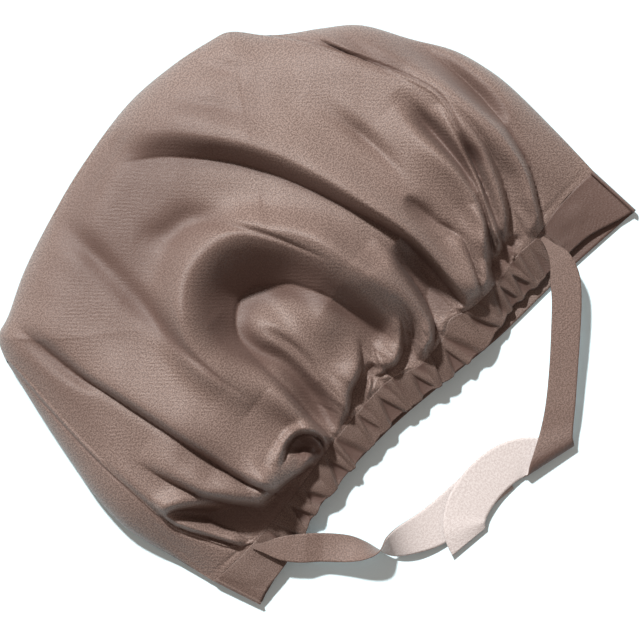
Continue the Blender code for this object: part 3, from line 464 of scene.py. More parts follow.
GROOVES: tuple[Groove, ...] = (
    Groove("arch_line", 0.050, 0.016, (
        (-0.100, 0.705, 0.0, 1.6), (-0.040, 0.665, 0.7, 1.3), (0.020, 0.610, 1.0, 0.8),
        (0.070, 0.545, 0.9, 0.5), (0.105, 0.485, 0.7, 0.4), (0.140, 0.420, 0.0, 0.4))),
    Groove("behind_arch", 0.080, 0.050, (
        (-0.260, 0.780, 0.0, 1.0), (-0.180, 0.730, 0.9, 1.0), (-0.100, 0.715, 1.0, 1.0),
        (-0.030, 0.680, 0.8, 0.8), (0.030, 0.630, 0.0, 0.6))),
    Groove("left_soft", 0.080, 0.036, (
        (-0.395, 0.960, 0.2, 1.4), (-0.400, 0.880, 0.8, 1.3), (-0.398, 0.800, 1.0, 1.1),
        (-0.402, 0.700, 0.8, 1.2), (-0.408, 0.600, 0.8, 1.0), (-0.415, 0.510, 0.6, 0.5),
        (-0.408, 0.440, 0.4, 0.28), (-0.398, 0.385, 0.2, 0.24), (-0.386, 0.335, 0.0, 0.24))),
    Groove("left_upper", 0.070, 0.034, (
        (-0.765, 0.840, 0.0, 1.2), (-0.750, 0.760, 0.9, 1.0), (-0.742, 0.690, 1.0, 0.9),
        (-0.730, 0.630, 0.8, 0.6), (-0.712, 0.590, 0.0, 0.4))),
    Groove("rim_shade", 0.080, 0.050, (
        (-0.420, 0.900, 0.0, 1.0), (-0.330, 0.930, 0.8, 1.0), (-0.220, 0.950, 1.0, 0.9),
        (-0.100, 0.958, 0.9, 0.7), (0.000, 0.962, 0.0, 0.5))),
    Groove("pocket", 0.300, 0.046, (
        (-0.870, 0.295, 0.0, 0.4), (-0.815, 0.258, 0.6, 0.6), (-0.765, 0.216, 0.9, 0.9),
        (-0.715, 0.175, 1.0, 1.0), (-0.660, 0.138, 1.0, 1.0), (-0.600, 0.126, 0.8, 0.7),
        (-0.520, 0.124, 0.7, 0.6), (-0.440, 0.116, 0.5, 0.5), (-0.380, 0.108, 0.0, 0.4))),
    Groove("above_hook", 0.035, 0.018, (
        (-0.560, 0.205, 0.0, 1.4), (-0.500, 0.216, 0.9, 1.3), (-0.430, 0.226, 1.0, 1.0),
        (-0.370, 0.230, 1.0, 1.0), (-0.318, 0.220, 0.5, 1.0), (-0.295, 0.200, 0.0, 0.8))),
    Groove("hook_hole", 0.200, 0.034, (
        (-0.430, 0.186, 0.0, 0.8), (-0.400, 0.188, 0.8, 0.9), (-0.370, 0.180, 1.0, 1.0),
        (-0.352, 0.162, 1.0, 1.0), (-0.358, 0.138, 0.9, 0.8), (-0.380, 0.116, 0.6, 0.6),
        (-0.392, 0.100, 0.0, 0.5))),
    Groove("inner_valley", 0.170, 0.040, (
        (-0.265, 0.520, 0.0, 1.2), (-0.262, 0.460, 0.6, 1.2), (-0.245, 0.400, 0.9, 1.0),
        (-0.220, 0.345, 1.0, 0.9), (-0.222, 0.290, 1.1, 1.0), (-0.236, 0.230, 1.2, 1.1),
        (-0.250, 0.175, 1.0, 1.0), (-0.250, 0.135, 0.0, 1.0))),
    Groove("inner_furrow", 0.080, 0.024, (
        (-0.190, 0.440, 0.0, 1.0), (-0.168, 0.395, 0.9, 0.8), (-0.156, 0.345, 1.0, 0.7),
        (-0.160, 0.300, 0.8, 0.8), (-0.175, 0.255, 0.0, 1.0))),
    Groove("limb_valley", 0.060, 0.038, (
        (0.050, 0.400, 0.0, 1.0), (0.075, 0.340, 0.8, 0.8), (0.090, 0.285, 1.0, 0.9),
        (0.085, 0.230, 0.7, 1.2), (0.060, 0.190, 0.0, 1.2))),
    Groove("crescent", 0.160, 0.026, (
        (-0.170, 0.146, 0.0, 0.6), (-0.120, 0.164, 0.9, 0.8), (-0.080, 0.176, 1.0, 0.8),
        (-0.040, 0.186, 0.8, 0.7), (-0.015, 0.180, 0.5, 0.6), (0.030, 0.142, 0.6, 0.6),
        (0.090, 0.146, 0.8, 0.8), (0.140, 0.166, 0.8, 0.9), (0.180, 0.195, 0.7, 0.8),
        (0.195, 0.240, 0.3, 0.7), (0.190, 0.270, 0.0, 0.7))),
    Groove("inner_shade", 0.090, 0.080, (
        (0.040, 0.360, 0.0, 0.8), (0.050, 0.310, 0.9, 0.9), (0.045, 0.260, 1.0, 1.0),
        (0.050, 0.210, 0.9, 1.0), (0.080, 0.165, 0.0, 0.8))),
    Groove("deep_valley", 0.230, 0.046, (
        (0.346, 0.345, 0.0, 0.5), (0.340, 0.310, 0.7, 0.8), (0.326, 0.270, 1.0, 1.0),
        (0.310, 0.210, 1.0, 1.0), (0.300, 0.170, 1.0, 1.0), (0.290, 0.140, 0.3, 0.8),
        (0.280, 0.120, 0.0, 0.8))),
    Groove("strip_hollow", 0.130, 0.020, (
        (0.762, 0.412, 0.0, 0.7), (0.748, 0.382, 0.35, 0.9), (0.730, 0.350, 0.8, 1.0),
        (0.704, 0.308, 0.7, 0.8), (0.664, 0.248, 0.5, 0.7), (0.626, 0.200, 0.5, 0.7),
        (0.590, 0.150, 0.0, 0.7))),
    Groove("right_stitches", 0.030, 0.006, (
        (0.722, 0.142, 0.0, 1.0), (0.745, 0.144, 1.0, 1.0), (0.820, 0.146, 1.0, 1.0),
        (0.900, 0.146, 1.0, 1.0), (0.965, 0.144, 1.0, 1.0), (0.985, 0.143, 0.0, 1.0))),
    Groove("left_stitches", 0.030, 0.006, (
        (-0.920, 0.126, 0.0, 1.0), (-0.895, 0.125, 1.0, 1.0), (-0.840, 0.122, 1.0, 1.0),
        (-0.780, 0.119, 1.0, 1.0), (-0.720, 0.118, 1.0, 1.0), (-0.680, 0.118, 0.0, 1.0))),
    Groove("drop_dark", 0.150, 0.026, (
        (0.472, 0.400, 0.0, 0.5), (0.470, 0.372, 0.7, 0.9), (0.474, 0.338, 1.0, 1.0),
        (0.482, 0.305, 0.8, 0.7), (0.498, 0.272, 0.5, 0.4), (0.506, 0.235, 0.0, 0.3))),
    Groove("foot_dark", 0.220, 0.036, (
        (0.470, 0.105, 0.0, 0.7), (0.510, 0.125, 0.9, 0.8), (0.560, 0.140, 1.0, 0.9),
        (0.610, 0.150, 0.8, 0.7), (0.640, 0.165, 0.0, 0.6))),
    Groove("right_soft", 0.120, 0.032, (
        (0.500, 0.720, 0.0, 1.2), (0.508, 0.640, 0.4, 1.1), (0.520, 0.570, 1.0, 0.9),
        (0.524, 0.510, 0.7, 0.8), (0.522, 0.455, 0.3, 0.8), (0.520, 0.390, 0.0, 0.8))),
    Groove("right_inner", 0.260, 0.028, (
        (0.706, 0.580, 0.0, 1.0), (0.702, 0.530, 0.3, 1.0), (0.695, 0.470, 0.9, 1.0),
        (0.688, 0.410, 1.0, 0.8), (0.674, 0.345, 0.7, 0.6), (0.648, 0.290, 0.0, 0.5))),
    Groove("far_line", 0.050, 0.032, (
        (0.120, 0.950, 0.0, 1.4), (0.185, 0.905, 0.8, 1.1), (0.240, 0.855, 1.0, 1.0),
        (0.290, 0.795, 0.9, 1.2), (0.340, 0.735, 0.5, 1.6), (0.370, 0.690, 0.0, 1.8))),
    Groove("far_line_two", 0.040, 0.034, (
        (0.260, 0.985, 0.0, 1.4), (0.330, 0.930, 1.0, 1.1), (0.380, 0.885, 1.0, 0.9),
        (0.410, 0.840, 0.0, 1.0))),
    Groove("seam_lee", 0.080, 0.030, (
        (0.690, 0.790, 0.0, 1.0), (0.720, 0.730, 0.9, 1.0), (0.740, 0.675, 1.0, 0.9),
        (0.765, 0.620, 0.7, 0.8), (0.790, 0.560, 0.0, 0.8))),
    Groove("lobe_soft", 0.200, 0.050, (
        (0.850, 0.700, 0.0, 0.8), (0.870, 0.610, 0.8, 1.0), (0.890, 0.520, 1.0, 0.9),
        (0.895, 0.430, 0.9, 0.8), (0.885, 0.350, 0.0, 0.6))),
    Groove("rim_welt", -0.040, 0.018, (
        (-0.800, 0.840, 0.0, 1.0), (-0.780, 0.848, 1.0, 1.0), (-0.740, 0.862, 0.8, 1.0),
        (-0.680, 0.880, 0.0, 1.0))),
)

# name, across, width and height in ruffles, lean of the top against the lower edge in ruffles
PLEATS: tuple[Row, ...] = (
    ("at_pocket", -0.690, 0.7, 0.4, 0.3), ("under_pocket", -0.650, 0.6, 0.7, -0.4),
    ("left_double", -0.610, 0.9, 0.9, -0.7), ("left_double_low", -0.572, 0.5, 1.1, 0.5),
    ("left_fan", -0.533, 0.7, 1.3, -0.6), ("left_fan_next", -0.500, 0.5, 0.9, 0.6),
    ("broad_left", -0.455, 1.2, 1.2, -0.8), ("under_hook", -0.385, 1.1, 1.4, 0.9),
    ("hook_side", -0.338, 0.6, 0.9, -0.5), ("gap_side", -0.300, 0.4, 1.3, 0.3),
    ("broad_centre", -0.240, 1.4, 1.0, -0.6), ("centre_crease", -0.193, 0.5, 1.2, 0.5),
    ("centre_small", -0.155, 0.6, 0.8, -0.4), ("centre_fold", -0.108, 0.9, 1.3, 0.8),
    ("centre_right", -0.060, 0.7, 1.0, -0.6), ("middle_small", -0.020, 0.5, 1.1, 0.4),
    ("middle_fold", 0.030, 0.9, 1.2, 0.7), ("middle_low", 0.072, 0.5, 0.9, -0.5),
    ("tall_gap", 0.118, 0.6, 1.4, 0.8), ("strut_foot", 0.168, 0.9, 1.2, 0.9),
    ("strut_side", 0.205, 0.5, 1.0, -0.3), ("broad_right", 0.270, 1.4, 1.1, -0.8),
    ("valley_foot", 0.318, 0.5, 0.9, 0.5), ("curl", 0.365, 0.9, 1.4, -0.9),
    ("right_fold", 0.420, 1.0, 1.0, 0.8), ("right_pair", 0.463, 0.5, 1.3, 0.5),
    ("right_pair_low", 0.492, 0.5, 1.0, -0.4), ("crumple", 0.522, 0.5, 1.3, 0.6),
    ("crumple_next", 0.552, 0.5, 1.1, -0.7), ("crumple_last", 0.583, 0.5, 1.3, 0.5),
    ("at_tie", 0.622, 0.7, 0.8, 0.6), ("past_tie", 0.662, 0.6, 0.5, -0.3),
)

# name, across, back, rise in tie lifts, side angle, bank angle, width in tie widths; the side
# angle points from the ribbon's middle to the edge that its bank angle lifts, seen from above
LEFT_TIE: tuple[Row, ...] = (
    ("hole", -0.745, 0.104, 1.00, 222.0, 0.0, 0.14),
    ("throat", -0.722, 0.084, 1.10, 222.0, 0.0, 0.36),
    ("lap", -0.686, 0.056, 1.10, 222.0, 0.0, 0.80),
    ("lip", -0.640, 0.024, 0.90, 222.0, 0.0, 1.00),
    ("drop", -0.585, -0.012, 0.78, 222.0, 4.0, 1.00),
    ("hang", -0.530, -0.054, 0.76, 224.0, 22.0, 1.00),
    ("turn", -0.486, -0.090, 0.88, 230.0, 58.0, 1.00),
    ("edge", -0.456, -0.112, 0.92, 238.0, 92.0, 1.00),
    ("over", -0.420, -0.124, 0.84, 246.0, 136.0, 1.04),
    ("flat", -0.365, -0.140, 0.62, 250.0, 166.0, 1.16),
    ("ease", -0.300, -0.158, 0.33, 253.0, 177.0, 1.34),
    ("settle", -0.230, -0.170, 0.12, 258.0, 180.0, 1.46),
    ("lie", -0.138, -0.177, 0.07, 264.0, 180.0, 1.50),
    ("near_end", -0.040, -0.182, 0.06, 263.0, 180.0, 1.50),
    ("end", 0.031, -0.188, 0.06, 257.0, 180.0, 1.50),
)

RIGHT_TIE: tuple[Row, ...] = (
    ("hole", 0.699, 0.112, 1.00, 174.0, 0.0, 0.14),
    ("throat", 0.696, 0.084, 1.35, 172.0, 0.0, 0.36),
    ("lap", 0.688, 0.052, 1.50, 166.0, 0.0, 0.76),
    ("lip", 0.655, 0.014, 1.48, 150.0, 0.0, 1.04),
    ("drop", 0.605, -0.024, 1.42, 138.0, 0.0, 1.04),
    ("run_high", 0.520, -0.075, 1.28, 132.0, 0.0, 1.02),
    ("run_low", 0.425, -0.129, 1.10, 131.0, 0.0, 1.00),
    ("lift", 0.330, -0.180, 0.95, 133.0, 0.0, 1.04),
    ("skew", 0.266, -0.210, 0.80, 143.0, 0.0, 1.16),
    ("near_fold", 0.218, -0.230, 0.78, 154.0, 2.0, 1.42),
    ("fold_top", 0.188, -0.243, 0.72, 162.0, 4.0, 1.74),
    ("fold_out", 0.170, -0.252, 0.44, 166.0, 4.0, 1.88),
    ("fold_low", 0.158, -0.242, 0.16, 173.0, 3.0, 1.80),
    ("unskew", 0.128, -0.216, 0.16, 200.0, 0.0, 1.56),
    ("back", 0.085, -0.194, 0.22, 228.0, 0.0, 1.48),
    ("crest", 0.025, -0.181, 0.28, 250.0, 0.0, 1.50),
    ("cross", -0.045, -0.178, 0.30, 265.0, 0.0, 1.52),
    ("bend", -0.115, -0.184, 0.32, 284.0, 0.0, 1.52),
    ("turn", -0.168, -0.198, 0.34, 306.0, 0.0, 1.50),
    ("fall", -0.204, -0.219, 0.38, 332.0, 0.0, 1.50),
    ("end", -0.225, -0.246, 0.23, 354.0, 0.0, 1.52),
)


def ease(share: Numbers) -> Numbers:
    """Go smoothly from nought to one."""
    share = np.clip(share, 0.0, 1.0)
    return share * share * (3.0 - 2.0 * share)


def round_off(share: Numbers) -> Numbers:
    """Rise steeply from nought like the side of a round edge, then level at one."""
    share = np.clip(share, 0.0, 1.0)
    return np.sqrt(np.maximum(0.0, 1.0 - (1.0 - share) ** 2))


def spline(rows: Sequence[Sequence[float]], steps: int) -> Numbers:
    """Sample a smooth curve through rows of numbers.

    Args:
        rows: The numbers that the curve passes through.
        steps: How many samples each stretch gets.

    Returns:
        One row of numbers for each sample.
    """
    knots = np.array(rows, dtype=float)
    last = len(knots) - 1
    out = []
    for index in range(last):
        a, b = knots[max(index - 1, 0)], knots[index]
        c, d = knots[index + 1], knots[min(index + 2, last)]
        for step in range(steps):
            t = step / steps
            low, high, gap = 0.5 * (c - a), 0.5 * (d - b), b - c
            out.append(b + t * (low + t * (-3.0 * gap - 2.0 * low - high
                                           + t * (2.0 * gap + low + high))))
    out.append(knots[last])
    return np.array(out)


def placed(rows: Sequence[Row]) -> list[tuple[float, float, float]]:
    """Turn named rows of across, back and rise into positions in metres."""
    out = []
    for row in rows:
        x, y = SIZES.plan(row[1], row[2])
        out.append((x, y, row[3] * SIZES.crown_rise if len(row) > 3 else 0.0))
    return out


class Path:
    """A smooth line across the bonnet, with the height it runs at."""

    def __init__(self, points: Numbers) -> None:
        """Keep the points and their running length."""
        self.points = np.asarray(points, dtype=float)
        steps = np.hypot(*np.diff(self.points[:, :2], axis=0).T)
        self.runs = np.concatenate([[0.0], np.cumsum(steps)])

    def along(self, share: Numbers) -> Numbers:
        """Give the points at shares of the length."""
        goal = np.clip(share, 0.0, 1.0) * self.runs[-1]
        return np.stack([np.interp(goal, self.runs, self.points[:, k]) for k in range(3)], axis=-1)

    def beside(self, share: Numbers, away: Numbers) -> Numbers:
        """Give points moved to the right of the path, seen from above."""
        here, low, high = (self.along(share + s) for s in (0.0, -0.01, 0.01))
        way = high[..., :2] - low[..., :2]
        way /= np.maximum(np.linalg.norm(way, axis=-1, keepdims=True), 1e-9)
        here[..., 0] += way[..., 1] * away
        here[..., 1] -= way[..., 0] * away
        return here

    def at_x(self, x: Numbers) -> tuple[Numbers, Numbers]:
        """Give y and z at each x of a path that runs from left to right."""
        return (np.interp(x, self.points[:, 0], self.points[:, 1]),
                np.interp(x, self.points[:, 0], self.points[:, 2]))

    def close(self, x: Numbers, y: Numbers, reach: float) -> Numbers:
        """Tell which places lie within reach of the path's box."""
        low, high = self.points.min(axis=0) - reach, self.points.max(axis=0) + reach
        return (x > low[0]) & (x < high[0]) & (y > low[1]) & (y < high[1])

    def nearest(self, x: Numbers, y: Numbers) -> tuple[Numbers, Numbers, list[Numbers]]:
        """Find the nearest point of the path.

        Args:
            x: Places across, in metres.
            y: Places back, in metres.

        Returns:
            Distance, side (over nought on the left), and the path's other columns there.
        """
        away = np.full(x.shape, 9.0)
        side = np.zeros(x.shape)
        others = [np.zeros(x.shape) for _ in range(self.points.shape[1] - 2)]
        for start, end in zip(self.points[:-1], self.points[1:]):
            dx, dy = end[:2] - start[:2]
            t = ((x - start[0]) * dx + (y - start[1]) * dy) / max(dx * dx + dy * dy, 1e-18)
            t = np.clip(t, 0.0, 1.0)
            off_x, off_y = x - start[0] - t * dx, y - start[1] - t * dy
            far = np.hypot(off_x, off_y)
            hit = far < away
            away = np.where(hit, far, away)
            side = np.where(hit, dx * off_y - dy * off_x, side)
            for column, other in enumerate(others):
                low, high = start[column + 2], end[column + 2]
                other[hit] = (low + (high - low) * t)[hit]
        return away, side, others


def ripple(x: Numbers, y: Numbers, shortest: float, longest: float, seed: int,
           count: int = 9) -> Numbers:
    """Give a soft irregular ripple between about minus one and one."""
    dice = np.random.default_rng(seed)
    total = np.zeros(np.shape(x))
    for _ in range(count):
        length = dice.uniform(shortest, longest)
        turn = dice.uniform(0.0, math.tau)
        start = dice.uniform(0.0, math.tau)
        total += np.sin((x * math.cos(turn) + y * math.sin(turn)) * math.tau / length + start)
    return total / math.sqrt(2.0 * count)


@dataclass
class BonnetForm:
    """The shape of the cloth as it lies: outline, seams, stitches, swells and folds."""

    sizes: Sizes = SIZES
    gathers: Gathers = Gathers()
    dome: Dome = Dome()
    creases: Creases = Creases()
    rim: Path = field(init=False)
    rim_left: Path = field(init=False)
    rim_far: Path = field(init=False)
    rim_right: Path = field(init=False)
    sewn: Path = field(init=False)
    lip: Path = field(init=False)
    front_lip: Path = field(init=False)
    under_sewn: Path = field(init=False)
    seam_left: Path = field(init=False)
    seam_right: Path = field(init=False)
    rolls: list = field(init=False)
    grooves: list = field(init=False)

    def __post_init__(self) -> None:
        """Lay every named line out once."""
        names = [row[0] for row in OUTLINE]
        edge = spline(placed(OUTLINE), RIM_STEPS)
        first, last = (RIM_STEPS * names.index(kink) for kink in ("left_kink", "right_kink"))
        self.rim = Path(edge)
        self.rim_left = Path(edge[:first + 1])
        self.rim_far = Path(edge[first:last + 1])
        self.rim_right = Path(edge[last:])
        self.sewn, self.lip, self.front_lip, self.under_sewn, self.seam_left, self.seam_right = (
            Path(spline(placed(rows), LINE_STEPS))
            for rows in (SEWING, MOUTH, BROW, UNDER_SEAM, LEFT_SEAM, RIGHT_SEAM))
        self.rolls = [(roll, self.laid(roll.way)) for roll in ROLLS]
        self.grooves = [(groove, self.laid(groove.way)) for groove in GROOVES]

    def laid(self, way: tuple[Row, ...]) -> Path:
        """Lay a fold's way out, with its strength and reach as further columns."""
        return Path(spline([(*self.sizes.plan(*row[:2]), *row[2:]) for row in way], WAY_STEPS))

    def folded(self, x: Numbers, y: Numbers) -> tuple[Numbers, Numbers]:
        """Give what the folds add.

        Args:
            x: Places across, in metres.
            y: Places back, in metres.

        Returns:
            Heights in metres, and how much painted shade each place gets, from nought to one,
            darkest deep in creases and grooves and at the painted shade spots.
        """
        sizes, creases = self.sizes, self.creases
        total = np.zeros(x.shape)
        painted_shade = np.zeros(x.shape)
        for roll, path in self.rolls:
            reach = (roll.crest + creases.roll_reach * roll.fall) * sizes.half_width
            reach *= path.points[:, 3].max()
            near = path.close(x, y, reach)
            far, side, (strength, stretch) = path.nearest(x[near], y[near])
            crest = roll.crest * sizes.half_width * stretch
            fall = roll.fall * sizes.half_width * stretch
            climb = np.clip(far / crest, 0.0, 1.0)
            climb = roll.hard * round_off(climb) + (1.0 - roll.hard) * ease(climb)
            bulge = np.where(far < crest, climb, np.exp(-((far - crest) / fall) ** 2))
            dip = roll.dip * np.exp(-(far / (creases.dip_width * crest)) ** creases.dip_power)
            total[near] += sizes.crown_rise * strength * (
                np.where(side > 0.0, roll.rise * bulge, 0.0) - dip)
            # painted shade along each roll's crease, wider on the roll's own side
            within = np.where(side > 0.0, creases.painted_shade_inside, creases.painted_shade_outside) * crest
            painted_shade[near] += strength * roll.rise * np.exp(-(far / within) ** 2)
        for groove, path in self.grooves:
            reach = creases.groove_reach * groove.width * sizes.half_width
            reach *= path.points[:, 3].max()
            near = path.close(x, y, reach)
            far, _, (strength, stretch) = path.nearest(x[near], y[near])
            hollow = np.exp(-(far / (groove.width * sizes.half_width * stretch)) ** 2)
            total[near] -= sizes.crown_rise * groove.depth * strength * hollow
            # painted shade in each groove, as strong as the groove is deep
            painted_shade[near] += max(groove.depth, 0.0) * strength * hollow
        # painted shade spots where the satin turns from the light
        for _, *spot, turned in PAINTED_SHADES:
            painted_shade += turned * self.blot(x, y, *spot)
        return total, ease(painted_shade / sizes.darkest_painted_shade)

    def blot(self, x: Numbers, y: Numbers, across: float, back: float, reach_across: float,
             reach_back: float) -> Numbers:
        """Give a soft round share of one at a spot that fades to nought past its reach."""
        spot_x, spot_y = self.sizes.plan(across, back)
        far = ((x - spot_x) / (reach_across * self.sizes.half_width)) ** 2
        far += ((y - spot_y) / (reach_back * self.sizes.depth)) ** 2
        return np.exp(-far)

    def gather(self, x: Numbers, depth: Numbers) -> Numbers:
        """Give the height of the casing's small ruffles.

        Args:
            x: Places across, in metres.
            depth: Share of the casing's width, from the mouth's edge to the stitches.

        Returns:
            Heights in metres.
        """
        sizes, gathers = self.sizes, self.gathers
        tallest = np.zeros_like(x)
        for _, across, width, height, lean in PLEATS:
            crest = across * sizes.half_width + lean * sizes.ruffle_pitch * (depth - 0.5)
            far = (x - crest) / (width * sizes.ruffle_pitch)
            side = np.where(far * lean > 0.0, gathers.steep_side, gathers.slow_side)
            ridge = ease(gathers.fullness * np.clip(1.0 - np.abs(far) / side, 0.0, 1.0))
            tallest = np.maximum(tallest, height * ridge)
        left, right = gathers.left_end * sizes.half_width, gathers.right_end * sizes.half_width
        inside = ease((x - left) / gathers.end_fade) * ease((right - x) / gathers.end_fade)
        return inside * sizes.ruffle_height * (gathers.fullness * tallest - gathers.sink)

    def casing_top(self, x: Numbers, depth: Numbers) -> tuple[Numbers, Numbers]:
        """Give the y and z of the casing at each x and share of its width."""
        low_y, low_z = self.lip.at_x(x)
        high_y, high_z = self.sewn.at_x(x)
        gathers, wave = self.gathers, self.gather(x, depth)
        y = low_y + (high_y - low_y) * depth - gathers.edge_push * wave * (1.0 - depth)
        lift = gathers.edge_lift + gathers.inner_lift * np.sin(math.pi * depth)
        return y, low_z + (high_z - low_z) * depth ** gathers.slant + wave * lift

    def crown_top(self, x: Numbers, y: Numbers) -> tuple[Numbers, Numbers]:
        """Give the crown's upper face.

        Args:
            x: Places across, in metres.
            y: Places back, in metres.

        Returns:
            Heights in metres, and how much painted shade each place gets.
        """
        sizes, dome = self.sizes, self.dome
        away, _, (rim,) = self.rim.nearest(x, y)
        sewn_y, sewn_z = self.sewn.at_x(x)
        above = y - sewn_y
        edge = round_off(away / sizes.edge_round)
        share = dome.edge_share * edge + dome.inland_share * ease(away / sizes.inland_round)
        height = rim + (dome.top * sizes.crown_rise - rim) * share
        for _, *spot, rise in SWELLS:
            height = height + rise * sizes.crown_rise * self.blot(x, y, *spot) * edge
        foot = sewn_z + self.gather(x, np.ones_like(x)) * self.gathers.foot_share
        start = np.minimum(foot, height)
        slope = np.sin(0.5 * math.pi * np.clip(above / sizes.foot_round, 0.0, 1.0))
        height = start + (height - start) * slope
        folds, painted_shade = self.folded(x, y)
        height = height + folds * edge * ease(above / sizes.fold_foot)
        height += self.pleats(x, y, above) * edge
        self.add_welts(x, y, height, painted_shade)
        soft = ripple(x, y, dome.ripple_shortest, dome.ripple_longest, dome.ripple_seed)
        height += dome.ripple_height * soft * edge * ease(above / dome.ripple_foot)
        floor = start + dome.step * ease(above / dome.step_reach)
        height = np.maximum(height, rim * (dome.rim_start + (1.0 - dome.rim_start) * edge))
        return np.maximum(height, np.minimum(floor, dome.step_top)), painted_shade * edge

    def add_welts(self, x: Numbers, y: Numbers, height: Numbers, painted_shade: Numbers) -> None:
        """Raise the crown's edge along both seams, with a dip and a line of painted shade on the
        far side of each.
        """
        sizes, creases = self.sizes, self.creases
        for seam in (self.seam_left, self.seam_right):
            near = seam.close(x, y, creases.welt_felt * sizes.welt_reach)
            far, side, _ = seam.nearest(x[near], y[near])
            inner = (side < 0.0) if seam is self.seam_left else (side > 0.0)
            welt = np.exp(-(far / sizes.welt_reach - creases.welt_centre) ** 2)
            height[near] += sizes.welt_height * np.where(inner, welt, -creases.welt_dip * welt)
            # painted shade in the dip beside each welt
            painted_shade[near] += np.where(inner, 0.0, creases.welt_painted_shade * welt)

    def pleats(self, x: Numbers, y: Numbers, above: Numbers) -> Numbers:
        """Give the small pleats that run up from the stitches and die out."""
        gathers = self.gathers
        lean = x - gathers.sway * above * np.sin(gathers.sway_turns * x + gathers.sway_start)
        ridge = self.gather(lean, 1.0 + above / gathers.pleat_spread)
        fade = np.exp(-(above / gathers.pleat_length) ** gathers.pleat_power)
        return gathers.pleat_share * ease(above / gathers.pleat_foot) * ridge * fade

    def under_face(self, x: Numbers, y: Numbers) -> Numbers:
        """Give the height of the underside's outer face."""
        away, _, (rim,) = self.rim.nearest(x, y)
        return rim * (1.0 - round_off(away / self.sizes.under_round))

    def support(self, x: Numbers, y: Numbers) -> Numbers:
        """Give the height of the casing or band under a ribbon, or nought beside them."""
        low_y, low_z = self.lip.at_x(x)
        high_y, high_z = self.sewn.at_x(x)
        depth = np.clip((y - low_y) / (high_y - low_y), 0.0, 1.0)
        flat = low_z + (high_z - low_z) * depth ** self.gathers.slant
        top = np.maximum(self.casing_top(x, depth)[1], flat)
        beside = (y < low_y - self.sizes.lip_margin) | (y > high_y + self.sizes.foot_margin)
        return np.where(beside, 0.0, top)


class Shade:
    """A socket of a material, so that shader maths reads as ordinary sums."""

    def __init__(self, tree: bpy.types.NodeTree, socket: bpy.types.NodeSocket) -> None:
        """Keep the tree and the socket."""
        self.tree = tree
        self.socket = socket

    def _join(self, operation: str, left: "Shade | float", right: "Shade | float") -> "Shade":
        """Add one Math node for two values."""
        node = self.tree.nodes.new("ShaderNodeMath")
        node.operation = operation
        for slot, value in zip(node.inputs, (left, right)):
            if isinstance(value, Shade):
                self.tree.links.new(value.socket, slot)
            else:
                slot.default_value = value
        return Shade(self.tree, node.outputs[0])

    def __add__(self, other: "Shade | float") -> "Shade":
        """Add."""
        return self._join("ADD", self, other)

    def __radd__(self, other: float) -> "Shade":
        """Add to a number."""
        return self._join("ADD", other, self)

    def __sub__(self, other: "Shade | float") -> "Shade":
        """Take away."""
        return self._join("SUBTRACT", self, other)

    def __mul__(self, other: "Shade | float") -> "Shade":
        """Multiply."""
        return self._join("MULTIPLY", self, other)


class Dye:
    """Builds one material from nodes."""

    def __init__(self, name: str) -> None:
        """Start a material that holds one Principled shader."""
        self.material = bpy.data.materials.new(name)
        self.material.use_nodes = True
        self.tree = self.material.node_tree
        self.shader = self.tree.nodes["Principled BSDF"]

    def node(self, kind: str, settings: dict | None = None, out: int | str = 0,
             **values: "Shade | float | Sequence[float]") -> Shade:
        """Add one node.

        Args:
            kind: The node's type.
            settings: Properties that are set before its sockets.
            out: Which output is wanted.
            **values: Values or links for its sockets, named with _ for a blank.

        Returns:
            The wanted output.
        """
        node = self.tree.nodes.new(kind)
        for key, value in (settings or {}).items():
            setattr(node, key, value)
        for key, value in values.items():
            slot = node.inputs[int(key[1:]) if key[1:].isdigit() else key.replace("_", " ")]
            if isinstance(value, Shade):
                self.tree.links.new(value.socket, slot)
            else:
                slot.default_value = value
        return Shade(self.tree, node.outputs[out])

    def feed(self, socket: str, value: "Shade | float | Sequence[float]") -> None:
        """Set or link one socket of the shader."""
        if isinstance(value, Shade):
            self.tree.links.new(value.socket, self.shader.inputs[socket])
        else:
            self.shader.inputs[socket].default_value = value


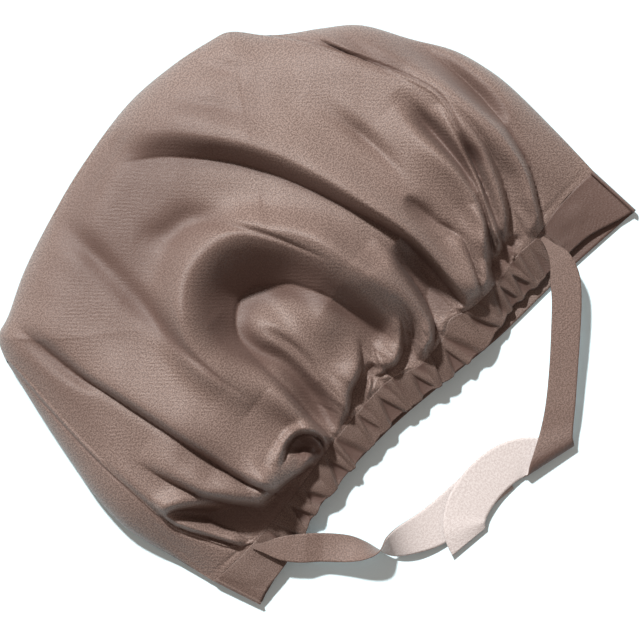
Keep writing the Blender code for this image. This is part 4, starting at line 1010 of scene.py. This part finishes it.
@dataclass(frozen=True)
class Satin:
    """A satin finish: two specked tones, a diagonal weave and wales, with a darker tone painted in
    as shade in creases.
    """

    name: str
    light: tuple[float, float, float] = (0.284, 0.210, 0.183)
    dark: tuple[float, float, float] = (0.144, 0.100, 0.085)
    # deep and crease: the painted shade tone and how much of it goes in where the painted shade is
    # full
    deep: tuple[float, float, float] = (0.112, 0.068, 0.057)
    crease: float = 0.76
    roughness: float = 0.44
    sheen: float = 0.06
    sheen_roughness: float = 0.45
    sheen_tint: tuple[float, float, float] = (0.80, 0.66, 0.60)
    twill_pitch: float = 0.00105
    cross_share: float = 0.55
    wale_pitch: float = 0.0029
    wale_waver: float = 1.6
    speck_size: float = 0.00088
    patch_scale: float = 28.0
    patch_low: float = 0.42
    patch_high: float = 0.62
    slub_scale: float = 120.0
    twill_tone: float = 0.14
    wale_tone: float = 0.16
    speck_tone: float = 9.6
    patch_tone: float = 0.35
    speck_gloss: float = 0.20
    twill_gloss: float = 0.02
    twill_depth: float = 0.00005
    slub_depth: float = 0.00025
    face: Face = Face.SATIN

    @staticmethod
    def noise(dye: Dye, cloth: Shade, scale: float, detail: float, roughness: float) -> Shade:
        """Add one noise that lies on the flat cloth."""
        return dye.node("ShaderNodeTexNoise", {"noise_dimensions": "3D"}, Vector=cloth,
                        Scale=scale, Detail=detail, Roughness=roughness)

    @staticmethod
    def waves(dye: Dye, turns: Shade) -> Shade:
        """Add one sine wave for each turn."""
        return dye.node("ShaderNodeMath", {"operation": "SINE"}, _0=turns * math.tau)

    def dye(self) -> bpy.types.Material:
        """Build the material."""
        dye = Dye(self.name)
        cloth = dye.node("ShaderNodeUVMap", {"uv_map": "cloth"})
        parts = dye.tree.nodes.new("ShaderNodeSeparateXYZ")
        dye.tree.links.new(cloth.socket, parts.inputs[0])
        warp, weft = (Shade(dye.tree, parts.outputs[k]) for k in (0, 1))
        rows = self.waves(dye, (warp + weft) * (1.0 / self.twill_pitch))
        cross = self.waves(dye, (warp - weft) * (1.0 / (self.cross_share * self.twill_pitch)))
        patch = self.noise(dye, cloth, self.patch_scale, 3.0, 0.55)
        grain = self.noise(dye, cloth, 1.0 / self.speck_size, 2.0, 0.8)
        slub = self.noise(dye, cloth, self.slub_scale, 4.0, 0.6)
        wales = self.waves(dye, (warp + weft) * (1.0 / self.wale_pitch)
                           + (slub - 0.5) * self.wale_waver)
        where = dye.node("ShaderNodeMapRange", _0=patch, _1=self.patch_low, _2=self.patch_high)
        tone = (0.5 + rows * self.twill_tone + wales * where * self.wale_tone
                + (grain - 0.5) * self.speck_tone + (patch - 0.5) * self.patch_tone)
        shade = dye.node("ShaderNodeMix", {"data_type": "RGBA"}, out=2, _0=tone,
                         _6=(*self.dark, 1.0), _7=(*self.light, 1.0))
        # painted shade: darken towards the deep tone where the mesh's painted shade is high
        painted_shade = dye.node("ShaderNodeAttribute", {"attribute_name": "painted_shade"}, out="Fac")
        painted_shade_colour = dye.node("ShaderNodeMix", {"data_type": "RGBA"}, out=2, _0=painted_shade * self.crease,
                           _6=shade, _7=(*self.deep, 1.0))
        height = (rows * (0.5 * self.twill_depth) + cross * (0.25 * self.twill_depth)
                  + wales * where * (0.6 * self.twill_depth)
                  + (grain - 0.5) * (5.0 * self.twill_depth) + (slub - 0.5) * self.slub_depth)
        dye.feed("Base Color", painted_shade_colour)
        dye.feed("Roughness", self.roughness + (grain - 0.5) * self.speck_gloss
                 + rows * self.twill_gloss)
        dye.feed("Normal", dye.node("ShaderNodeBump", Strength=1.0, Distance=1.0, Height=height))
        dye.feed("Sheen Weight", self.sheen)
        dye.feed("Sheen Roughness", self.sheen_roughness)
        dye.feed("Sheen Tint", (*self.sheen_tint, 1.0))
        dye.feed("Specular IOR Level", self.face.specular())
        return dye.material


def cloth_piece(name: str, columns: int, rows: int, shape: Shape, flat: tuple[float, float],
                keep: Shape | None = None, level: bool = False) -> bpy.types.Object:
    """Make a sheet of cloth from a grid whose points are moved by a function.

    Args:
        name: The piece's name.
        columns: Faces along the sheet.
        rows: Faces across the sheet.
        shape: Gives positions, and how much painted shade each gets, for shares along and across.
        flat: The sheet's flat size, which its map is scaled to.
        keep: Tells, for shares at a face's middle, whether the face stays.
        level: Whether the map follows the plan, as on cloth that lies nearly flat.

    Returns:
        The new object.
    """
    body = bmesh.new()
    bmesh.ops.create_grid(body, x_segments=columns, y_segments=rows, size=0.5)
    body.verts.ensure_lookup_table()
    places = np.array([v.co[:2] for v in body.verts]) + 0.5
    if keep is not None:
        middles = np.array([f.calc_center_median()[:2] for f in body.faces]) + 0.5
        stays = keep(middles[:, 0], middles[:, 1])
        gone = [f for f, stay in zip(body.faces, stays) if not stay]
    points = shape(places[:, 0], places[:, 1])
    chart = points[:, :2] if level else places * np.array(flat)
    flat_map = body.loops.layers.uv.new("cloth")
    # per-point painted shade, which the satin material reads to darken its colour
    painted_shade = body.verts.layers.float.new("painted_shade")
    shade_amounts = points[:, 3] if points.shape[1] > 3 else np.zeros(len(points))
    for vertex, point, spot, depth in zip(body.verts, points[:, :3].tolist(), chart.tolist(),
                                          shade_amounts.tolist()):
        vertex.co = point
        vertex[painted_shade] = depth
        for loop in vertex.link_loops:
            loop[flat_map].uv = spot
    for face in body.faces:
        face.smooth = True
    if keep is not None and gone:
        bmesh.ops.delete(body, geom=gone, context="FACES")
    mesh = bpy.data.meshes.new(name)
    body.to_mesh(mesh)
    body.free()
    piece = bpy.data.objects.new(name, mesh)
    bpy.context.scene.collection.objects.link(piece)
    return piece


def thicken(piece: bpy.types.Object, wall: float, offset: float, back: int = 0) -> None:
    """Give a sheet its thickness."""
    wall_modifier = piece.modifiers.new("wall", "SOLIDIFY")
    wall_modifier.thickness = wall
    wall_modifier.offset = offset
    wall_modifier.material_offset = back


def flip(piece: bpy.types.Object) -> None:
    """Turn a sheet's faces over."""
    body = bmesh.new()
    body.from_mesh(piece.data)
    bmesh.ops.reverse_faces(body, faces=body.faces[:])
    body.to_mesh(piece.data)
    body.free()


def settle(piece: bpy.types.Object, node: str) -> None:
    """Tie a piece to the bonnet's one body and hide the solid that it stands for."""
    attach(piece, "root")
    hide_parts(node)
    LOG.info("%s: %d faces", piece.name, len(piece.data.polygons))


@dataclass
class Crown:
    """The gathered back panel."""

    form: BonnetForm
    finish: Satin
    columns: int = 396
    rows: int = 246
    even_share: float = 0.55
    area_share: float = 0.80
    flat: tuple[float, float] = (0.420, 0.285)

    def shape(self, share: Numbers, level: Numbers) -> Numbers:
        """Give the panel's points for shares across and back."""
        form, even = self.form, self.even_share
        level = even * level + (1.0 - even) * (1.0 - np.cos(math.pi * level)) / 2.0
        gap = np.full_like(level, form.sizes.seam_gap)
        left = form.seam_left.beside(level, gap)
        right = form.seam_right.beside(level, -gap)
        start, end = form.seam_left.points[0][0], form.seam_right.points[0][0]
        foot_x = start + (end - start) * share
        foot = np.stack([foot_x, form.sewn.at_x(foot_x)[0]], axis=-1)
        far = form.rim_far.along(share)
        corners = (form.seam_left.points[0], form.seam_right.points[0],
                   form.rim_far.points[0], form.rim_far.points[-1])
        s, t = share[:, None], level[:, None]
        spot = ((1 - s) * left[:, :2] + s * right[:, :2] + (1 - t) * foot + t * far[:, :2]
                - (1 - s) * (1 - t) * corners[0][:2] - s * (1 - t) * corners[1][:2]
                - (1 - s) * t * corners[2][:2] - s * t * corners[3][:2])
        x, y = spot[:, 0], spot[:, 1]
        z, painted_shade = form.crown_top(x, y)
        z = np.where(level <= 0.0, form.casing_top(x, np.ones_like(x))[1], z)
        z = np.where(level >= 1.0, far[:, 2], z)
        return np.stack([x, y, z, painted_shade], axis=-1)

    def build(self) -> bpy.types.Object:
        """Make and dress the panel."""
        piece = cloth_piece("crown_cloth", self.columns, self.rows, self.shape, self.flat,
                            level=True)
        piece.data.materials.append(self.finish.dye())
        settle(piece, "back_panel")
        return piece


@dataclass
class Front:
    """The smooth panel underneath, with the lobes that fold over beside the seams."""

    form: BonnetForm
    finish: Satin
    columns: int = 470
    rows: int = 84
    under_rows: int = 12
    side_share: float = 0.36
    lobe_share: float = 0.354
    corner_spread: float = 0.25
    mouth_left: float = -0.850
    mouth_width: float = 1.760
    under_power: float = 2.6
    lobe_power: float = 1.35
    area_share: float = 0.68
    flat: tuple[float, float] = (0.420, 0.330)

    @property
    def lobe_start(self) -> float:
        """Give the share of the rows at which the folded edge lies."""
        return self.under_rows / self.rows

    def shape(self, share: Numbers, level: Numbers) -> Numbers:
        """Give the panel's points for shares round the edge and up over it."""
        form, side = self.form, self.side_share
        gap = np.full_like(share, form.sizes.seam_gap)
        left, right = share < side, share > 1.0 - side
        along_left = np.clip(share / side, 0.0, 1.0)
        along_right = np.clip((1.0 - share) / side, 0.0, 1.0)
        along_far = (share - side) / (1.0 - 2.0 * side)
        rim = np.where(left[:, None], form.rim_left.along(along_left),
                       np.where(right[:, None], form.rim_right.along(1.0 - along_right),
                                form.rim_far.along(along_far)))
        seam = np.where(left[:, None], form.seam_left.beside(along_left, -gap),
                        form.seam_right.beside(along_right, gap))
        corner = self.corner_spread
        spread = np.where(left, corner * along_left,
                          np.where(right, 1.0 - corner * along_right,
                                   corner + (1.0 - 2.0 * corner) * along_far))
        mouth_x = (self.mouth_left + self.mouth_width * spread) * form.sizes.half_width
        mouth_y = form.under_sewn.at_x(mouth_x)[0]
        under = 1.0 - level / self.lobe_start
        t = np.clip(under, 0.0, 1.0) ** self.under_power
        x = rim[:, 0] + (mouth_x - rim[:, 0]) * t
        y = rim[:, 1] + (mouth_y - rim[:, 1]) * t
        ends = (share <= 1e-6) | (share >= 1.0 - 1e-6)
        y = np.where(ends & (under > 0.0), form.under_sewn.at_x(x)[0], y)
        z = np.where(under > 0.0, form.under_face(x, y), rim[:, 2])
        climb = np.clip((level - self.lobe_start) / (1.0 - self.lobe_start), 0.0, 1.0)
        climb = climb ** self.lobe_power
        over = (under < -1e-6) & (left | right)
        lobe_x = rim[:, 0] + (seam[:, 0] - rim[:, 0]) * climb
        lobe_y = rim[:, 1] + (seam[:, 1] - rim[:, 1]) * climb
        lobe_z, painted_shade = form.crown_top(lobe_x, lobe_y)
        foot_y, foot_z = form.sewn.at_x(lobe_x)
        lobe_y = np.where(ends, foot_y, lobe_y)
        lobe_z = np.where(ends, foot_z, lobe_z)
        x, y, z = (np.where(over, a, b) for a, b in ((lobe_x, x), (lobe_y, y), (lobe_z, z)))
        return np.stack([x, y, z, np.where(over, painted_shade, 0.0)], axis=-1)

    def keep(self, share: Numbers, level: Numbers) -> Numbers:
        """Tell which faces belong to the panel."""
        return (level < self.lobe_start) | (np.abs(share - 0.5) > 0.5 - self.lobe_share)

    def build(self) -> bpy.types.Object:
        """Make and dress the panel."""
        piece = cloth_piece("front_cloth", self.columns, self.rows, self.shape, self.flat,
                            self.keep, level=True)
        flip(piece)
        piece.data.materials.append(self.finish.dye())
        settle(piece, "front_panel")
        return piece


@dataclass
class Casing:
    """The gathered casing along the nape."""

    form: BonnetForm
    finish: Satin
    columns: int = 520
    rows: int = 30
    wall: float = 0.0016
    # painted shade on the casing: a little everywhere, more in the low places between ruffles
    even_painted_shade: float = 0.25
    wave_painted_shade: float = 2.2
    flat: tuple[float, float] = (0.300, 0.026)

    def shape(self, share: Numbers, level: Numbers) -> Numbers:
        """Give the casing's points for shares along and across."""
        left, right = CASING_ENDS
        x = (left + (right - left) * share) * self.form.sizes.half_width
        y, z = self.form.casing_top(x, level)
        wave = self.form.gather(x, level) / self.form.sizes.ruffle_height
        # painted shade, darker between the ruffles
        return np.stack([x, y, z, ease(self.even_painted_shade - self.wave_painted_shade * wave)], axis=-1)

    def build(self) -> bpy.types.Object:
        """Make and dress the casing."""
        piece = cloth_piece("casing_cloth", self.columns, self.rows, self.shape, self.flat)
        thicken(piece, self.wall, -1.0)
        piece.data.materials.append(self.finish.dye())
        settle(piece, "nape_casing")
        return piece


@dataclass
class Band:
    """The flat brow band, folded over at both corners of the mouth."""

    form: BonnetForm
    finish: Satin
    columns: int = 640
    rows: int = 22
    wall: float = 0.0015
    turn_low: float = 0.0030
    turn_high: float = 0.0040
    top_share: float = 0.94
    turn_angles: tuple[float, float] = (62.0, -74.0)
    under_inset: tuple[float, float] = (0.006, 0.008)
    top_above: float = 0.0065
    ripple_height: float = 0.0003
    # painted shade towards the band's right end, where the satin turns from the light: strength,
    # start across and width
    lee: float = 0.95
    lee_start: float = 0.62
    lee_width: float = 0.14
    flat: tuple[float, float] = (0.430, 0.034)

    def upper(self, side: int) -> tuple[list[tuple], list[tuple]]:
        """Give the band's stations from the casing's end to past one corner.

        Args:
            side: Nought for the left corner, minus one for the right one.

        Returns:
            Points along the mouth's edge and along the stitches.
        """
        form, plan = self.form, self.form.sizes.plan
        start = CASING_ENDS[side] * form.sizes.half_width
        corner, fold = plan(*MOUTH[side][1:3]), plan(*SEWING[side][1:3])
        inward = 1.0 if side == 0 else -1.0
        low, high = [], []
        for share in np.linspace(0.0, self.top_share, 16):
            low_x, high_x = (start + (end[0] - start) * share for end in (corner, fold))
            low.append((low_x, *form.lip.at_x(low_x)))
            high.append((high_x, *form.sewn.at_x(high_x)))
        for angle in np.radians(np.linspace(*self.turn_angles, 12)):
            aside, up = inward * (1.0 - math.cos(angle)), 1.0 + math.sin(angle)
            for line, end, turn in ((low, corner, self.turn_low), (high, fold, self.turn_high)):
                line.append((end[0] + turn * aside, end[1], turn * up))
        return low, high

    def stations(self) -> tuple[Numbers, Numbers]:
        """Give matching points along the mouth's edge and along the stitches."""
        form, plan = self.form, self.form.sizes.plan
        low, high = self.upper(0)
        for line, rows, edge, inset in ((low, MOUTH, form.front_lip, self.under_inset[0]),
                                        (high, SEWING, form.under_sewn, self.under_inset[1])):
            first, last = (plan(*rows[end][1:3])[0] for end in (0, -1))
            for x in np.linspace(first + inset, last - inset, 60):
                line.append((x, edge.at_x(x)[0], 0.0))
        far_low, far_high = self.upper(-1)
        return np.array(low + far_low[::-1]), np.array(high + far_high[::-1])

    def shape(self, share: Numbers, level: Numbers) -> Numbers:
        """Give the band's points for shares round and across."""
        low, high = self.stations()
        steps = np.linalg.norm(np.diff(0.5 * (low + high), axis=0), axis=1)
        runs = np.concatenate([[0.0], np.cumsum(steps)])
        goal = share * runs[-1]
        lows = np.stack([np.interp(goal, runs, low[:, k]) for k in range(3)], axis=-1)
        highs = np.stack([np.interp(goal, runs, high[:, k]) for k in range(3)], axis=-1)
        spot = lows + (highs - lows) * level[:, None]
        soft = self.ripple_height * ripple(spot[:, 0], spot[:, 1], 0.010, 0.03, 3)
        spot[:, 2] += np.where(spot[:, 2] > self.top_above, soft, 0.0)
        # painted shade towards the right end
        across = spot[:, 0] / self.form.sizes.half_width
        painted_shade = self.lee * ease((across - self.lee_start) / self.lee_width)
        return np.column_stack([spot, painted_shade])

    def build(self) -> bpy.types.Object:
        """Make and dress the band."""
        piece = cloth_piece("band_cloth", self.columns, self.rows, self.shape, self.flat)
        flip(piece)
        thicken(piece, self.wall, -1.0)
        piece.data.materials.append(self.finish.dye())
        settle(piece, "brow_band")
        return piece


@dataclass
class Ribbon:
    """One ribbon tie, brown satin on its face and pale on its back.

    Its lee is the centre and the reach, in shares of the length, and the depth of a stretch of
    painted shade where the ribbon's fold turns from the light.
    """

    form: BonnetForm
    name: str
    node: str
    table: tuple[Row, ...]
    face: Satin
    back: Satin
    columns: int = 300
    rows: int = 16
    smoothing: int = 9
    clearance: float = 0.0011
    floor_gap: float = 0.0001
    lee: tuple[float, float, float] = (0.5, 0.1, 0.0)
    wall: float = 0.0007

    def sections(self) -> Numbers:
        """Give smooth sections: middle, side angle, bank and width."""
        sizes = self.form.sizes
        rows = [(*sizes.plan(*row[1:3]), row[3] * sizes.tie_lift, *row[4:]) for row in self.table]
        return spline(rows, TIE_STEPS)

    def length(self) -> float:
        """Give the ribbon's length along its middle."""
        return float(np.linalg.norm(np.diff(self.sections()[:, :3], axis=0), axis=1).sum())

    def shape(self, share: Numbers, level: Numbers) -> Numbers:
        """Give the ribbon's points for shares along and across."""
        rows = self.sections()
        steps = np.linalg.norm(np.diff(rows[:, :3], axis=0), axis=1) + 1e-5
        runs = np.concatenate([[0.0], np.cumsum(steps)])
        stations, place = np.unique(share, return_inverse=True)
        x, y, z, side, bank, width = (np.interp(stations * runs[-1], runs, rows[:, k])
                                      for k in range(6))
        half = 0.5 * width * self.form.sizes.tie_width
        turn, tip = np.radians(side), np.radians(bank)
        lean = np.stack([np.cos(turn) * np.cos(tip), np.sin(turn) * np.cos(tip), np.sin(tip)],
                        axis=-1)
        middle = np.stack([x, y, z], axis=-1)
        lift = np.zeros_like(x)
        for step in np.linspace(-1.0, 1.0, 9):
            spot = middle + lean * (half * step)[:, None]
            under = self.form.support(spot[:, 0], spot[:, 1])
            over = np.where(under > 0.0, under + self.clearance - spot[:, 2], 0.0)
            lift = np.maximum(lift, over)
            lift = np.maximum(lift, 0.5 * self.wall + self.floor_gap - spot[:, 2])
        for pick in (np.max, np.mean):
            padded = np.pad(lift, self.smoothing, mode="edge")
            lift = pick([padded[k:k + len(lift)] for k in range(2 * self.smoothing + 1)], axis=0)
        middle[:, 2] += lift
        points = middle[place] + lean[place] * (half[place] * (1.0 - 2.0 * level))[:, None]
        # painted shade along one stretch of the ribbon
        centre, reach, depth = self.lee
        return np.column_stack([points, depth * np.exp(-((share - centre) / reach) ** 2)])

    def build(self) -> bpy.types.Object:
        """Make and dress the ribbon."""
        flat = (self.length(), self.form.sizes.tie_width)
        piece = cloth_piece(self.name, self.columns, self.rows, self.shape, flat)
        thicken(piece, self.wall, 0.0, back=1)
        piece.data.materials.append(self.face.dye())
        piece.data.materials.append(self.back.dye())
        settle(piece, self.node)
        return piece


@dataclass
class Studio:
    """The pale surface, the soft studio light and the camera straight above."""

    frame_width: float = 0.3686
    centre: tuple[float, float] = (-0.0046, -0.0371)
    camera_height: float = 2.6
    sun_rise: float = 46.0
    sun_power: float = 4.75
    sun_angle: float = 4.0
    sun_travel: tuple[float, float] = (-0.33, -0.944)
    sun_colour: tuple[float, float, float] = (1.0, 0.985, 0.965)
    sky_colour: tuple[float, float, float] = (1.0, 0.77, 0.66)
    sky_power: float = 0.31
    floor_half: float = 3.0
    floor_drop: float = 0.0004
    sensor: float = 36.0
    picture_right: tuple[float, float] = (0.6903, -0.7235)

    def floor(self) -> bpy.types.Object:
        """Lay the surface."""
        body = bmesh.new()
        bmesh.ops.create_grid(body, x_segments=1, y_segments=1, size=self.floor_half)
        mesh = bpy.data.meshes.new("floor")
        body.to_mesh(mesh)
        body.free()
        ground = bpy.data.objects.new("floor", mesh)
        bpy.context.scene.collection.objects.link(ground)
        ground.location.z = -self.floor_drop
        dye = Dye("pale_surface")
        dye.feed("Base Color", (0.74, 0.93, 1.0, 1.0))
        dye.feed("Emission Color", (0.80, 0.95, 1.0, 1.0))
        dye.feed("Emission Strength", 0.06)
        dye.feed("Roughness", 0.7)
        mesh.materials.append(dye.material)
        return ground

    def lights(self) -> None:
        """Set one fairly hard key and a soft sky."""
        fall = -math.tan(math.radians(self.sun_rise))
        travel = Vector((*self.sun_travel, fall)).normalized()
        data = bpy.data.lights.new("key", "SUN")
        data.energy = self.sun_power
        data.angle = math.radians(self.sun_angle)
        data.color = self.sun_colour
        key = bpy.data.objects.new("key", data)
        key.rotation_mode = "QUATERNION"
        key.rotation_quaternion = travel.to_track_quat("-Z", "Y")
        bpy.context.scene.collection.objects.link(key)
        world = bpy.data.worlds.new("studio")
        world.use_nodes = True
        sky = world.node_tree.nodes["Background"]
        sky.inputs["Color"].default_value = (*self.sky_colour, 1.0)
        sky.inputs["Strength"].default_value = self.sky_power
        bpy.context.scene.world = world

    def camera(self) -> bpy.types.Object:
        """Hang the camera over the bonnet, turned as in the photo."""
        data = bpy.data.cameras.new("overhead")
        data.sensor_width = self.sensor
        data.lens = self.sensor * self.camera_height / self.frame_width
        view = bpy.data.objects.new("overhead", data)
        right = Vector((*self.picture_right, 0.0)).normalized()
        up = Vector((-right.y, right.x, 0.0))
        turn = Matrix((right, up, right.cross(up))).transposed()
        view.matrix_world = Matrix.Translation((*self.centre, self.camera_height)) @ turn.to_4x4()
        bpy.context.scene.collection.objects.link(view)
        bpy.context.scene.camera = view
        return view


def main() -> None:
    """Load the frame, dress the bonnet and light it."""
    logging.basicConfig(level=logging.INFO, format="%(message)s")
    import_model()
    studio = Studio()
    studio.floor()
    studio.lights()
    studio.camera()
    bpy.context.scene.view_settings.view_transform = "Standard"
    form = BonnetForm()
    crown = Satin("crown_satin")
    # The casing's and brow band's satins are darker copies of the crown satin: painted shade, as
    # they lie under the crown's and the casing's edges.
    band = Satin("band_satin", light=(0.190, 0.134, 0.114), dark=(0.094, 0.062, 0.051))
    brow = Satin("brow_satin", light=(0.225, 0.162, 0.140), dark=(0.116, 0.079, 0.066))
    face = Satin("ribbon_satin", light=(0.240, 0.170, 0.146), dark=(0.132, 0.090, 0.075),
                 roughness=0.48, twill_pitch=0.0008)
    pale = Satin("ribbon_back", light=(0.66, 0.62, 0.61), dark=(0.55, 0.50, 0.49), roughness=0.6,
                 sheen=0.1, twill_pitch=0.0008, crease=0.0, face=Face.REVERSE)
    Front(form, crown).build()
    Crown(form, crown).build()
    Casing(form, band).build()
    Band(form, brow).build()
    Ribbon(form, "ribbon_left", "tie_left", LEFT_TIE, face, pale).build()
    # the right ribbon gets painted shade where its fold turns from the light
    Ribbon(form, "ribbon_right", "tie_right", RIGHT_TIE, face, pale,
           lee=(0.605, 0.030, 1.0)).build()


if __name__ == "__main__":
    main()
